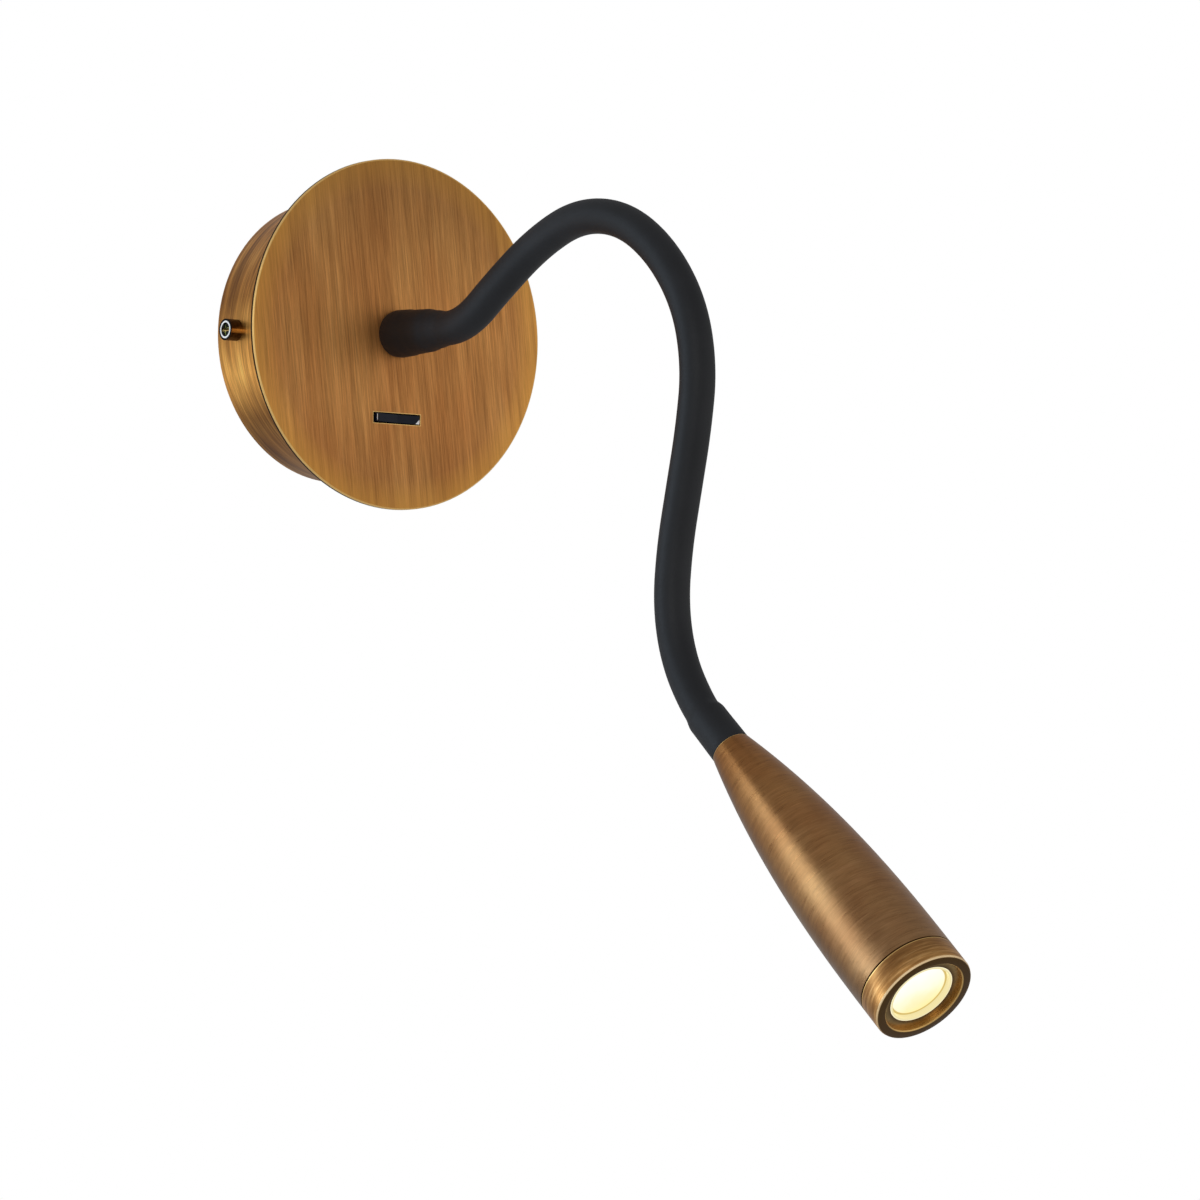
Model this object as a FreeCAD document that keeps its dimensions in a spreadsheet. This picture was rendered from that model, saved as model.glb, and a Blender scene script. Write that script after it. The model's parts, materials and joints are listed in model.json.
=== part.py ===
import FreeCAD, Part
import math
import os
import re
import Sketcher
from FreeCAD import Placement, Rotation, Vector

# Bedside wall reading lamp: a round face plate on a drum canopy, a sleeved gooseneck, and a turned
# torch-shaped head with one LED behind a lens.
#
# Frame: millimetres, +Z up, the wall is the plane y = 0 and the lamp stands out of it towards -Y.
# The origin is the centre of the canopy on the wall. The pieces at the wall are drawn in a local
# frame of x, up and out, where out is the distance from the wall. The pieces of the head are drawn
# round their own axis, and "along" is the distance from the head's narrow end towards its lens.

SIZES = {
    # canopy and round face plate
    "canopy_diameter": 97.6, "canopy_depth": 35.8, "canopy_wall": 1.2, "canopy_edge": 1.0,
    "disc_diameter": 120, "disc_thickness": 1.5, "disc_edge": 0.3, "neck_hole": 10.4,
    "stud_circle": 82, "stud_diameter": 3, "stud_length": 6, "stud_nut_flats": 5.5,
    "stud_nut_height": 2.4,
    # wall bracket, with slots for the wall screws and ears for the side screws
    "bracket_thickness": 1.5, "bracket_width": 24, "bracket_length": 80, "bracket_span": 93.2,
    "ear_width": 14, "ear_height": 17, "slot_spacing": 60, "slot_width": 4.4, "slot_length": 10,
    "cable_hole": 14, "tongue_width": 22, "tongue_drop": 31, "earth_across": 17.5,
    "side_screw_out": 11, "side_screw_head": 7.4, "side_screw_head_length": 4.5,
    "side_screw_thread": 4, "side_screw_reach": 9.8,
    # rocker switch
    "switch_drop": 28.9, "slot_long": 19.8, "slot_high": 3.7, "housing_long": 23,
    "housing_high": 8, "housing_depth": 12, "housing_tabs": 34, "tab_thickness": 2,
    "cavity_long": 20.6, "cavity_high": 3.6, "cavity_depth": 7,
    "rocker_half": 9.2, "rocker_high": 2.8, "rocker_crown": 4.2, "rocker_pivot_out": 32.8,
    "rocker_tilt": 6, "rocker_pin": 1.2, "rocker_pin_length": 5.8, "switch_screw_across": 14.5,
    "switch_screw": 1.6, "contact_across": 5, "contact_length": 5,
    # LED driver
    "driver_rise": 23, "driver_long": 56, "driver_high": 21, "tray_depth": 12, "cover_depth": 6,
    "driver_wall": 1.5, "board_long": 52, "board_high": 17, "board_thickness": 1.6,
    "board_gap": 2, "ledge_width": 2, "part_height": 10, "driver_screw_across": 31,
    "driver_screw": 2.9, "driver_ears": 68, "ear_high": 8, "ear_thick": 3,
    "transformer_side": 14, "capacitor_diameter": 7, "lead_entry_out": 20,
    # terminal block and earth screw
    "block_across": 24, "block_wide": 20, "block_long": 15.5, "block_deep": 11,
    "block_drop": 21.2, "way_pitch": 6.5, "way_out": 7, "way_diameter": 3, "clamp_screw": 2.8,
    "clamp_screw_length": 3.6, "clamp_screw_pitch": 8.5, "block_screw": 2.1,
    "wire_diameter": 1.8, "tag_diameter": 8, "tag_thickness": 0.8,
    # gooseneck: silicone sleeve over an interlocked steel tube over the lamp lead
    "sleeve_radius": 5.85, "sleeve_bore": 4.75, "spiral_radius": 4.6, "spiral_bore": 3.2,
    "lead_radius": 1.6, "lead_gap": 0.6, "joint_ball": 6.55, "joint_gap": 0.3,
    "fitting_radius": 6.1, "fitting_length": 16, "socket_depth": 12, "socket_radius": 4.65,
    "fitting_bore": 2.3, "fit_gap": 0.05, "wall_thread": 10, "wall_thread_reach": 8.8,
    "neck_nut_flats": 14, "neck_nut_height": 4, "lock_washer_diameter": 17,
    "lock_washer_thickness": 0.8,
    # head
    "head_length": 118.6, "head_radius": 17.05, "head_neck_radius": 6.85, "head_curve_power": 2.4,
    "head_wall": 1.5, "head_neck_wall": 3, "head_thread": 8, "head_thread_reach": 8.2,
    "head_nut_flats": 10, "head_nut_height": 4, "sink_start": 74, "sink_length": 23,
    "sink_radius": 14.2, "sink_core": 10.5, "sink_seat": 14.4, "sink_flange": 6,
    "sink_flange_radius": 14.9, "fin_pitch": 4, "fin_gap": 2, "head_bore": 15.05,
    "chip_radius": 4.5, "chip_height": 1, "led_board_radius": 13.5, "led_board_thickness": 1.6,
    "led_screw_circle": 20, "led_screw": 2.1, "led_screw_depth": 6,
    "bezel_length": 9.5, "bezel_mouth": 13.8, "bezel_lip": 1.8, "bezel_edge": 0.4,
    "bezel_spigot": 5.5, "bezel_spigot_radius": 14.95, "bezel_bore": 14.35,
    "ring_radius": 14.25, "ring_mouth": 11.2, "ring_flange": 2, "ring_wall": 1.2,
    "lens_recess": 0.1, "lens_flange": 1.5, "lens_flange_radius": 12.8, "lens_radius": 11.1,
    "lens_rim": 0.8, "lens_dish": 1.8, "lens_tail_radius": 5.6, "lens_pocket": 6.5,
}

# The gooseneck's route in the rest pose, from the face plate to the head: straight runs joined by
# tangent arcs. The first two runs are in one line, and so are the last two, because the stiff end
# fittings are inside them.
NECK_ROUTE = [
    (0, -37.3, 0), (0, -56.5, 0), (0, -76, 0), (0, -95.5, 13), (0, -116.5, 25), (0, -139, 32.3),
    (0, -162.5, 29.5), (0, -183, 17), (0, -198, -1.5), (0, -203.3, -22.5), (0, -200.5, -42.5),
    (0, -195.8, -61.5), (0, -191.3, -80), (0, -189.5, -99), (-0.4, -194.5, -117),
    (-1.6, -206.5, -132.2), (-1.05, -214.4, -139.2), (-0.5, -222.3, -146.2),
]
# The neck bends at the middle of each of these runs.
BEND_RUNS = [2, 4, 6, 8, 10, 12, 14]

# The sleeve's thicker ends, as distance from the plate or the head and radius there.
WALL_FLARE = [(0, 8.2), (6, 7.85), (17, 7.2), (22.5, 6.45), (29, 5.85)]
HEAD_FLARE = [(0, 6.75), (15, 6.6), (20, 5.85)]

# Routes of the wires inside the canopy. The last one is the lamp lead, which goes on up the neck.
LIVE_ROUTE = [
    (-17.5, -7, -25), (-17.5, -7, -36), (-9, -8.5, -37), (-5, -11, -28.9), (-5, -17.6, -28.9),
]
NEUTRAL_ROUTE = [
    (-24, -7, -25), (-24, -7, -35), (-31, -14, -33), (-40, -20.5, -20), (-43, -21, -4),
    (-42.5, -21, 10), (-40, -20.5, 20), (-33.5, -20, 26), (-25, -20, 26),
]
SWITCHED_ROUTE = [
    (5, -17.6, -28.9), (5, -12, -28.9), (-3, -11, -19), (-17, -14, -8), (-28, -17, 0),
    (-36, -19, 9), (-35.5, -20, 20), (-25, -20, 20),
]
EARTH_ROUTE = [
    (-30.5, -7, -25), (-30.5, -7, -34), (-22, -5.5, -39), (-5, -4, -41), (11, -3.3, -35),
    (17.5, -3.1, -20), (17.5, -3.1, -3.7),
]
LAMP_ROUTE = [
    (25, -20, 23), (36, -20, 23), (39.5, -18.5, 9), (31, -15, -3), (17, -13, -5.5),
    (0, -12, 0), (0, -37.3, 0),
]

STUD_ANGLES = (90, 210, 330)
WALL = Placement(Vector(), Rotation(Vector(1, 0, 0), 90))
ALONG_X = Rotation(Vector(0, 1, 0), 90)
AGAINST_X = Rotation(Vector(0, 1, 0), -90)
ALONG_UP = Rotation(Vector(1, 0, 0), -90)

doc = FreeCAD.newDocument("reading_lamp")
sheet = doc.addObject("Spreadsheet::Sheet", "dims")
for sheet_row, (size_name, size_value) in enumerate(SIZES.items(), 1):
    sheet.set(f"A{sheet_row}", size_name)
    sheet.set(f"B{sheet_row}", str(size_value))
    sheet.setAlias(f"B{sheet_row}", size_name)
doc.recompute()
pieces = []


# ---- Helpers ---------------------------------------------------------------------------------

def size(alias):
    return float(sheet.get(alias))


def bound(text):
    """An expression with the name of each size pointed at the sheet."""
    return re.sub(r"[a-z]\w+", lambda word: f"dims.{word[0]}" if word[0] in SIZES else word[0], text)


def bind(item, **expressions):
    for prop, text in expressions.items():
        item.setExpression(prop, bound(text))


def shift(item, x="0", up="0", out="0", turn=Rotation()):
    """Puts an object at x, up and out in the local frame of its piece."""
    item.Placement = Placement(Vector(), turn)
    for axis, text in zip("xyz", (x, up, out)):
        item.setExpression(f"Placement.Base.{axis}", bound(text))
    return item


def box(wide, high, deep, x="0", up="0", out="0"):
    """A box centred on x and up, which starts at out."""
    item = doc.addObject("Part::Box", "box")
    bind(item, Length=wide, Width=high, Height=deep)
    return shift(item, f"{x} - ({wide}) / 2", f"{up} - ({high}) / 2", out)


def rod(diameter, length, x="0", up="0", out="0", turn=Rotation()):
    item = doc.addObject("Part::Cylinder", "rod")
    bind(item, Radius=f"({diameter}) / 2", Height=length)
    return shift(item, x, up, out, turn)


def cone(start_diameter, end_diameter, length, x="0", up="0", out="0"):
    item = doc.addObject("Part::Cone", "cone")
    bind(item, Radius1=f"({start_diameter}) / 2", Radius2=f"({end_diameter}) / 2", Height=length)
    return shift(item, x, up, out)


def hexagon(flats, height, x="0", up="0", out="0"):
    item = doc.addObject("Part::Prism", "hexagon")
    item.Polygon = 6
    bind(item, Circumradius=f"({flats}) / sqrt(3)", Height=height)
    return shift(item, x, up, out)


def join(*items):
    item = doc.addObject("Part::MultiFuse", "join")
    item.Shapes = list(items)
    return item


def cut(base, *tools):
    item = doc.addObject("Part::Cut", "cut")
    item.Base = base
    item.Tool = tools[0] if len(tools) == 1 else join(*tools)
    return item


def group(*items):
    item = doc.addObject("Part::Compound", "group")
    item.Links = list(items)
    return item


def piece(name, item, frame=WALL):
    """Names a sub-part and turns it from its local frame into the lamp's."""
    if item.ExpressionEngine:
        item = group(item)
    item.Placement = frame
    item.Label = name
    pieces.append(item)
    return item


def outline_sketch(body, outline):
    """A closed polygon; its corners are pairs of expressions, and "0" puts one on an axis."""
    sketch = body.newObject("Sketcher::SketchObject", "outline")
    plane = next(face for face in body.Origin.OriginFeatures if face.Role == "XZ_Plane")
    sketch.AttachmentSupport = [(plane, "")]
    sketch.MapMode = "FlatFace"
    count = len(outline)
    rough = [Vector(20 + 10 * math.cos(math.tau * i / count), 20 + 10 * math.sin(math.tau * i / count))
             for i in range(count)]
    for i in range(count):
        sketch.addGeometry(Part.LineSegment(rough[i], rough[(i + 1) % count]), False)
    for i in range(count):
        sketch.addConstraint(Sketcher.Constraint("Coincident", i, 2, (i + 1) % count, 1))
    for i, corner in enumerate(outline):
        for text, kind, axis, start in zip(corner, ("DistanceX", "DistanceY"), (-2, -1), rough[i]):
            if text == "0":
                sketch.addConstraint(Sketcher.Constraint("PointOnObject", i, 1, axis))
            else:
                index = sketch.addConstraint(Sketcher.Constraint(kind, i, 1, start))
                sketch.setExpression(f"Constraints[{index}]", bound(text))
    return sketch


def turned(*outline):
    """A body turned about its local Z, from corners given as radius and distance along."""
    body = doc.addObject("PartDesign::Body", "turned")
    sketch = outline_sketch(body, outline)
    revolution = body.newObject("PartDesign::Revolution", "revolution")
    revolution.Profile = sketch
    revolution.ReferenceAxis = (sketch, ["V_Axis"])
    revolution.Angle = 360
    return body


def extruded(width, *outline):
    """A body padded evenly to both sides of an outline of x and out."""
    body = doc.addObject("PartDesign::Body", "extruded")
    pad = body.newObject("PartDesign::Pad", "pad")
    pad.Profile = outline_sketch(body, outline)
    pad.Midplane = True
    bind(pad, Length=width)
    return body


def round_edge(body, radius, edge_radius, along):
    """Rounds the circular edge of that radius at that distance along the body's axis."""
    doc.recompute()
    base = body.Tip
    names = [f"Edge{i}" for i, edge in enumerate(base.Shape.Edges, 1)
             if isinstance(edge.Curve, Part.Circle)
             and abs(edge.Curve.Radius - edge_radius) < 0.01
             and abs(edge.Curve.Center.z - along) < 0.01]
    fillet = body.newObject("PartDesign::Fillet", "round_edge")
    fillet.Base = (base, names)
    bind(fillet, Radius=radius)
    return body


def screw(thread, reach, head, head_height, x="0", up="0", out="0", turn=Rotation(), cross=True):
    """A screw with a cross or a slot in its head, whose underside is at out."""
    slot_width = f"({head}) * 0.16"
    slot_start = f"({head_height}) * 0.5"
    slots = [box(f"({head}) * 0.62", slot_width, head_height, out=slot_start)]
    if cross:
        slots.append(box(slot_width, f"({head}) * 0.62", head_height, out=slot_start))
    solid = join(rod(head, head_height), rod(thread, reach, out=f"-({reach})"))
    return shift(cut(solid, *slots), x, up, out, turn)


def countersunk(thread, reach, x, up):
    """A countersunk screw whose head fills the canopy's front wall."""
    head = cone(thread, f"({thread}) * 2", "canopy_wall")
    recess = box(f"({thread}) * 1.1", f"({thread}) * 0.3", "canopy_wall", out="canopy_wall / 2")
    solid = join(head, rod(thread, reach, out=f"-({reach})"))
    return shift(cut(solid, recess), x, up, "canopy_depth - canopy_wall")


def around(circle, angles):
    """Expressions for the places on a circle at those angles."""
    return [(f"({circle}) / 2 * cos({angle} deg)", f"({circle}) / 2 * sin({angle} deg)")
            for angle in angles]


# ---- Canopy, face plate and wall bracket -----------------------------------------------------

def make_canopy():
    cup = turned(
        ("0", "canopy_depth - canopy_wall"),
        ("canopy_diameter / 2 - canopy_wall", "canopy_depth - canopy_wall"),
        ("canopy_diameter / 2 - canopy_wall", "0"), ("canopy_diameter / 2", "0"),
        ("canopy_diameter / 2", "canopy_depth"), ("0", "canopy_depth"))
    round_edge(cup, "canopy_edge", size("canopy_diameter") / 2, size("canopy_depth"))
    front = "canopy_depth - canopy_wall"
    holes = [rod("neck_hole", "canopy_wall * 3", out=f"{front} - canopy_wall"),
             box("cavity_long", "cavity_high", "canopy_wall * 3", up="-switch_drop",
                 out=f"{front} - canopy_wall"),
             rod("side_screw_thread + 0.4", "canopy_diameter + 10", x="-canopy_diameter / 2 - 5",
                 out="side_screw_out", turn=ALONG_X)]
    for x, up in around("stud_circle", STUD_ANGLES):
        holes.append(rod("stud_diameter + 0.4", "canopy_wall * 3", x, up, f"{front} - canopy_wall"))
    for side in (-1, 1):
        holes.append(cone("driver_screw + 0.1", "driver_screw * 2 + 0.1", "canopy_wall",
                          f"driver_screw_across * {side}", "driver_rise", front))
        holes.append(cone("switch_screw + 0.1", "switch_screw * 2 + 0.1", "canopy_wall",
                          f"switch_screw_across * {side}", "-switch_drop", front))
    piece("canopy", cut(cup, *holes))


def make_face_plate():
    """The round plate, with threaded studs welded to its back that pass through the canopy."""
    back = "canopy_depth"
    front = "canopy_depth + disc_thickness"
    plate = turned(
        ("neck_hole / 2", back), ("disc_diameter / 2", back),
        ("disc_diameter / 2", f"{front} - disc_edge"),
        ("disc_diameter / 2 - disc_edge", front), ("neck_hole / 2", front))
    slot = box("slot_long", "slot_high", "disc_thickness * 3", up="-switch_drop",
               out="canopy_depth - disc_thickness")
    studs = []
    nuts = []
    nut_start = "canopy_depth - canopy_wall - stud_nut_height"
    for x, up in around("stud_circle", STUD_ANGLES):
        studs.append(rod("stud_diameter", "stud_length", x, up, f"{back} - stud_length"))
        nut = hexagon("stud_nut_flats", "stud_nut_height", x, up, nut_start)
        nuts.append(cut(nut, rod("stud_diameter + fit_gap", "stud_nut_height", x, up, nut_start)))
    piece("face_disc", join(cut(plate, slot), *studs))
    piece("disc_nuts", group(*nuts))


def make_wall_bracket():
    thick = "bracket_thickness"
    ear_across = "(bracket_span - bracket_thickness) / 2"
    tongue = box("tongue_width", "tongue_drop", thick, x="-block_across", up="-tongue_drop / 2")
    plate = join(box("bracket_length", "bracket_width", thick), box("bracket_span", "ear_width", thick),
                 box(thick, "ear_width", "ear_height", x=ear_across),
                 box(thick, "ear_width", "ear_height", x=f"-{ear_across}"), tongue)
    through = {"length": "bracket_thickness * 3", "out": "-bracket_thickness"}
    holes = [rod("cable_hole", **through),
             rod("side_screw_thread + fit_gap", "bracket_span + 10", x="-bracket_span / 2 - 5",
                 out="side_screw_out", turn=ALONG_X),
             rod("side_screw_thread + fit_gap", x="earth_across", **through),
             rod("block_screw + fit_gap", x="-block_across + way_pitch / 2", up="-block_drop",
                 **through)]
    for side in (-1, 1):
        centre = f"slot_spacing / 2 * {side}"
        holes.append(box("slot_length - slot_width", "slot_width", "bracket_thickness * 3",
                         x=centre, out="-bracket_thickness"))
        for end in (-1, 1):
            holes.append(rod("slot_width", x=f"{centre} + (slot_length - slot_width) / 2 * {end}",
                             **through))
    piece("wall_bracket", cut(plate, *holes))


def make_side_screws():
    head = ("side_screw_thread", "side_screw_reach", "side_screw_head", "side_screw_head_length")
    piece("side_screws", group(
        screw(*head, x="canopy_diameter / 2", out="side_screw_out", turn=ALONG_X),
        screw(*head, x="-canopy_diameter / 2", out="side_screw_out", turn=AGAINST_X)))


# ---- Switch ----------------------------------------------------------------------------------

def make_switch():
    front = "canopy_depth - canopy_wall"
    housing = join(box("housing_long", "housing_high", "housing_depth", up="-switch_drop",
                       out=f"{front} - housing_depth"),
                   box("housing_tabs", "housing_high", "tab_thickness", up="-switch_drop",
                       out=f"{front} - tab_thickness"))
    openings = [box("cavity_long", "cavity_high", "cavity_depth", up="-switch_drop",
                    out=f"{front} - cavity_depth"),
                rod("rocker_pin + fit_gap * 2", "rocker_pin_length + fit_gap * 4",
                    up="-switch_drop - rocker_pin_length / 2 - fit_gap * 2",
                    out="rocker_pivot_out", turn=ALONG_UP)]
    for side in (-1, 1):
        openings.append(rod("switch_screw + fit_gap", "tab_thickness * 2",
                            f"switch_screw_across * {side}", "-switch_drop",
                            f"{front} - tab_thickness * 2"))
    piece("switch_housing", cut(housing, *openings))
    piece("switch_screws", group(*[countersunk("switch_screw", "3", f"switch_screw_across * {side}",
                                               "-switch_drop") for side in (-1, 1)]))
    piece("switch_terminals", group(*[
        box("2.8", "0.6", "contact_length", f"contact_across * {side}", "-switch_drop",
            f"{front} - housing_depth - contact_length") for side in (-1, 1)]))


def make_rocker():
    """Two faces that slope up from the middle, at rest tipped so that one lies flat."""
    end_height = "rocker_crown + rocker_half * tan(rocker_tilt * 1 deg)"
    lever = extruded("rocker_high",
                     ("-rocker_half", end_height), ("0", "rocker_crown"),
                     ("rocker_half", end_height), ("rocker_half - 0.2", "1"), ("3", "-1.6"),
                     ("-3", "-1.6"), ("0.2 - rocker_half", "1"))
    pin = rod("rocker_pin", "rocker_pin_length", up="-rocker_pin_length / 2", turn=ALONG_UP)
    tipped = Placement(Vector(0, -size("switch_drop"), size("rocker_pivot_out")),
                       Rotation(Vector(0, 1, 0), size("rocker_tilt")))
    piece("switch_rocker", join(lever, pin), WALL * tipped)


# ---- LED driver ------------------------------------------------------------------------------

def make_driver():
    front = "canopy_depth - canopy_wall"
    rise = "driver_rise"
    tray_start = f"{front} - tray_depth"
    inner_long = "driver_long - driver_wall * 2"
    inner_high = "driver_high - driver_wall * 2"
    tray_body = join(box("driver_long", "driver_high", "tray_depth", up=rise, out=tray_start),
                     box("driver_ears", "ear_high", "ear_thick", up=rise, out=f"{front} - ear_thick"))
    hollow = [box(inner_long, inner_high, "tray_depth - driver_wall", up=rise, out=tray_start)]
    ledges = []
    for side in (-1, 1):
        hollow.append(rod("driver_screw + fit_gap", "ear_thick * 2", f"driver_screw_across * {side}",
                          rise, f"{front} - ear_thick * 1.5"))
        ledges.append(box("ledge_width", inner_high, "board_gap",
                          f"({inner_long} - ledge_width) / 2 * {side}", rise,
                          f"{front} - driver_wall - board_gap"))
    piece("driver_tray", join(cut(tray_body, *hollow), *ledges))
    cover_start = f"{tray_start} - cover_depth"
    cover = box("driver_long", "driver_high", "cover_depth", up=rise, out=cover_start)
    entry_x = "driver_wall * 3"
    holes = [box(inner_long, inner_high, "cover_depth - driver_wall", up=rise,
                 out=f"{cover_start} + driver_wall"),
             rod("lead_radius * 2 + 0.4", entry_x, "driver_long / 2 - driver_wall * 2", rise,
                 "lead_entry_out", ALONG_X)]
    for up in ("driver_rise - 3", "driver_rise + 3"):
        holes.append(rod("wire_diameter + 0.4", entry_x, "-driver_long / 2 - driver_wall", up,
                         "lead_entry_out", ALONG_X))
    piece("driver_cover", cut(cover, *holes))
    board_start = f"{front} - driver_wall - board_gap - board_thickness"
    piece("driver_board", box("board_long", "board_high", "board_thickness", up=rise,
                              out=board_start))
    parts_start = f"{board_start} - part_height"
    piece("driver_transformer", box("transformer_side", "transformer_side", "part_height",
                                    x="-2", up=rise, out=parts_start))
    piece("driver_capacitors", group(
        rod("capacitor_diameter", "part_height", "10.5", f"{rise} + 3.5", parts_start),
        rod("capacitor_diameter", "part_height", "18.5", f"{rise} - 3.5", parts_start)))
    piece("driver_screws", group(*[
        countersunk("driver_screw", "5", f"driver_screw_across * {side}", rise)
        for side in (-1, 1)]))


# ---- Terminal block and earth screw ----------------------------------------------------------

def make_terminal_block():
    start = "bracket_thickness"
    centre = {"x": "-block_across", "up": "-block_drop"}
    body = box("block_wide", "block_long", "block_deep", out=start, **centre)
    fixing_x = "-block_across + way_pitch / 2"
    bores = [rod("block_screw + 0.2", "block_deep + 2", fixing_x, "-block_drop", start)]
    clamp_screws = []
    screw_start = "bracket_thickness + block_deep - clamp_screw_length - 0.4"
    for way in (-1, 0, 1):
        x = f"-block_across + way_pitch * {way}"
        bores.append(rod("way_diameter", "block_long + 2", x, "-block_drop - block_long / 2 - 1",
                         "way_out", ALONG_UP))
        for end in (-1, 1):
            up = f"-block_drop + clamp_screw_pitch / 2 * {end}"
            bores.append(rod("clamp_screw + 0.1", "block_deep", x, up, "way_out"))
            slot = box("clamp_screw", "clamp_screw * 0.2", "1", x, up,
                       f"{screw_start} + clamp_screw_length - 0.8")
            clamp_screws.append(cut(rod("clamp_screw", "clamp_screw_length", x, up, screw_start), slot))
    piece("terminal_block", cut(body, *bores))
    piece("terminal_screws", group(*clamp_screws))
    piece("block_screw", screw("block_screw", "block_deep + bracket_thickness", "block_screw * 1.4",
                               "1.4", fixing_x, "-block_drop", f"{start} + block_deep"))


def make_earth_screw():
    tag_top = "bracket_thickness + tag_thickness"
    piece("earth_screw", group(screw("side_screw_thread", tag_top, "side_screw_thread * 1.7", "2.4",
                                     "earth_across", "0", tag_top, cross=False)))


# ---- Tubes that follow a route ---------------------------------------------------------------

def route_stretches(points):
    """The straight stretches of a route and the tangent arcs between them.

    An arc's radius is 0.45 of the shorter run, over the tangent of half the turn.
    """
    points = [Vector(*point) for point in points]
    stretches = []
    arcs = []
    start = points[0]
    for before, corner, after in zip(points, points[1:], points[2:]):
        run_in = corner - before
        run_out = after - corner
        turn = run_in.getAngle(run_out)
        reach = 0.45 * min(run_in.Length, run_out.Length) if turn > math.radians(0.5) else 0
        arc_start = corner - Vector(run_in).normalize() * reach
        arc_end = corner + Vector(run_out).normalize() * reach
        stretches.append((start, arc_start))
        if reach:
            radius = reach / math.tan(turn / 2)
            inward = ((arc_start + arc_end) * 0.5 - corner).normalize()
            middle = corner + inward * (radius / math.cos(turn / 2) - radius)
            arcs.append((arc_start, middle, arc_end, radius))
        else:
            arcs.append(None)
        start = arc_end
    stretches.append((start, points[-1]))
    return stretches, arcs


def line(start, end):
    return Part.LineSegment(start, end).toShape()


def route_edges(stretches, arcs):
    edges = []
    for index, (start, end) in enumerate(stretches):
        if index and arcs[index - 1]:
            edges.append(Part.Arc(*arcs[index - 1][:3]).toShape())
        edges.append(line(start, end))
    return edges


def pipe(edges, radius):
    """A round solid rod along the edges."""
    first = edges[0]
    start = first.valueAt(first.FirstParameter)
    circle = Part.Circle(start, first.tangentAt(first.FirstParameter), radius)
    solid = Part.Wire(edges).makePipeShell([Part.Wire(circle.toShape())], True, False)
    return solid if solid.Volume > 0 else solid.reversed()


def route_piece(name, shape):
    item = doc.addObject("Part::Feature", "route_piece")
    item.Shape = shape
    item.Label = name
    pieces.append(item)


def make_wires():
    routes = {"live_lead": LIVE_ROUTE, "neutral_lead": NEUTRAL_ROUTE,
              "switched_lead": SWITCHED_ROUTE}
    for name, route in routes.items():
        route_piece(name, pipe(route_edges(*route_stretches(route)), size("wire_diameter") / 2))
    wire = pipe(route_edges(*route_stretches(EARTH_ROUTE)), size("wire_diameter") / 2)
    tag_centre = Vector(size("earth_across"), -size("bracket_thickness"), 0)
    tag = Part.makeCylinder(size("tag_diameter") / 2, size("tag_thickness"), tag_centre,
                            Vector(0, -1, 0))
    hole = Part.makeCylinder(size("side_screw_thread") / 2 + size("fit_gap"), 3, tag_centre,
                             Vector(0, -1, 0))
    route_piece("earth_lead", wire.fuse(tag.cut(hole)))


# ---- Gooseneck -------------------------------------------------------------------------------

def neck_links(stretches, arcs):
    """The edges of each link, from bend to bend, with the bend points and directions."""
    bends = []
    links = []
    first_run = 0
    start = stretches[0][0]
    last_run = len(stretches) - 1
    for run in BEND_RUNS + [last_run]:
        if run == last_run:
            end = stretches[run][1]
        else:
            end = (Vector(*NECK_ROUTE[run]) + Vector(*NECK_ROUTE[run + 1])) * 0.5
            bends.append((end, (stretches[run][1] - stretches[run][0]).normalize()))
        parts = [(start, stretches[first_run][1])] + stretches[first_run + 1:run]
        links.append(route_edges(parts + [(stretches[run][0], end)], arcs[first_run:run]))
        start = end
        first_run = run
    return links, bends


def link_solid(edges, outer, inner, start_bend, end_bend, added=(), removed=()):
    """One layer of one link, with a hollow start and a domed end about its bend points."""
    ball = size("joint_ball")
    if end_bend:
        centre, direction = end_bend
        edges = edges + [line(centre, centre + direction * ball)]
    solid = pipe(edges, outer)
    for extra in added:
        solid = solid.fuse(extra)
    solid = solid.cut(pipe(edges, inner))
    for extra in removed:
        solid = solid.cut(extra)
    if start_bend:
        solid = solid.cut(Part.makeSphere(ball + size("joint_gap"), *start_bend))
    if end_bend:
        past = Part.makeCylinder(outer + 1, ball + 1, centre, direction)
        solid = solid.cut(past.cut(Part.makeSphere(ball, centre, direction)))
    return solid


def shortened(edges, length):
    """The edges without that length of their start."""
    while edges[0].Length <= length:
        length -= edges[0].Length
        edges = edges[1:]
    first = edges[0]
    kept = first.Curve.toShape(first.getParameterByLength(length), first.LastParameter)
    return [kept] + edges[1:]


def lead_path(edges, start_bend, end_bend):
    """The edges of a link's lead: it stays out of the last link's dome and inside its own."""
    ball = size("joint_ball")
    gap = size("lead_gap")
    if start_bend:
        edges = shortened(edges, ball + gap)
    if end_bend:
        centre, direction = end_bend
        edges = edges + [line(centre, centre + direction * (ball - gap))]
    return edges


def flare(stations, origin, direction):
    """The thick end of the sleeve, as a solid turned about the line from origin."""
    solid = None
    for (near, near_radius), (far, far_radius) in zip(stations, stations[1:]):
        part = Part.makeCone(near_radius, far_radius, far - near, origin + direction * near, direction)
        solid = part if solid is None else solid.fuse(part)
    return solid


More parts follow.
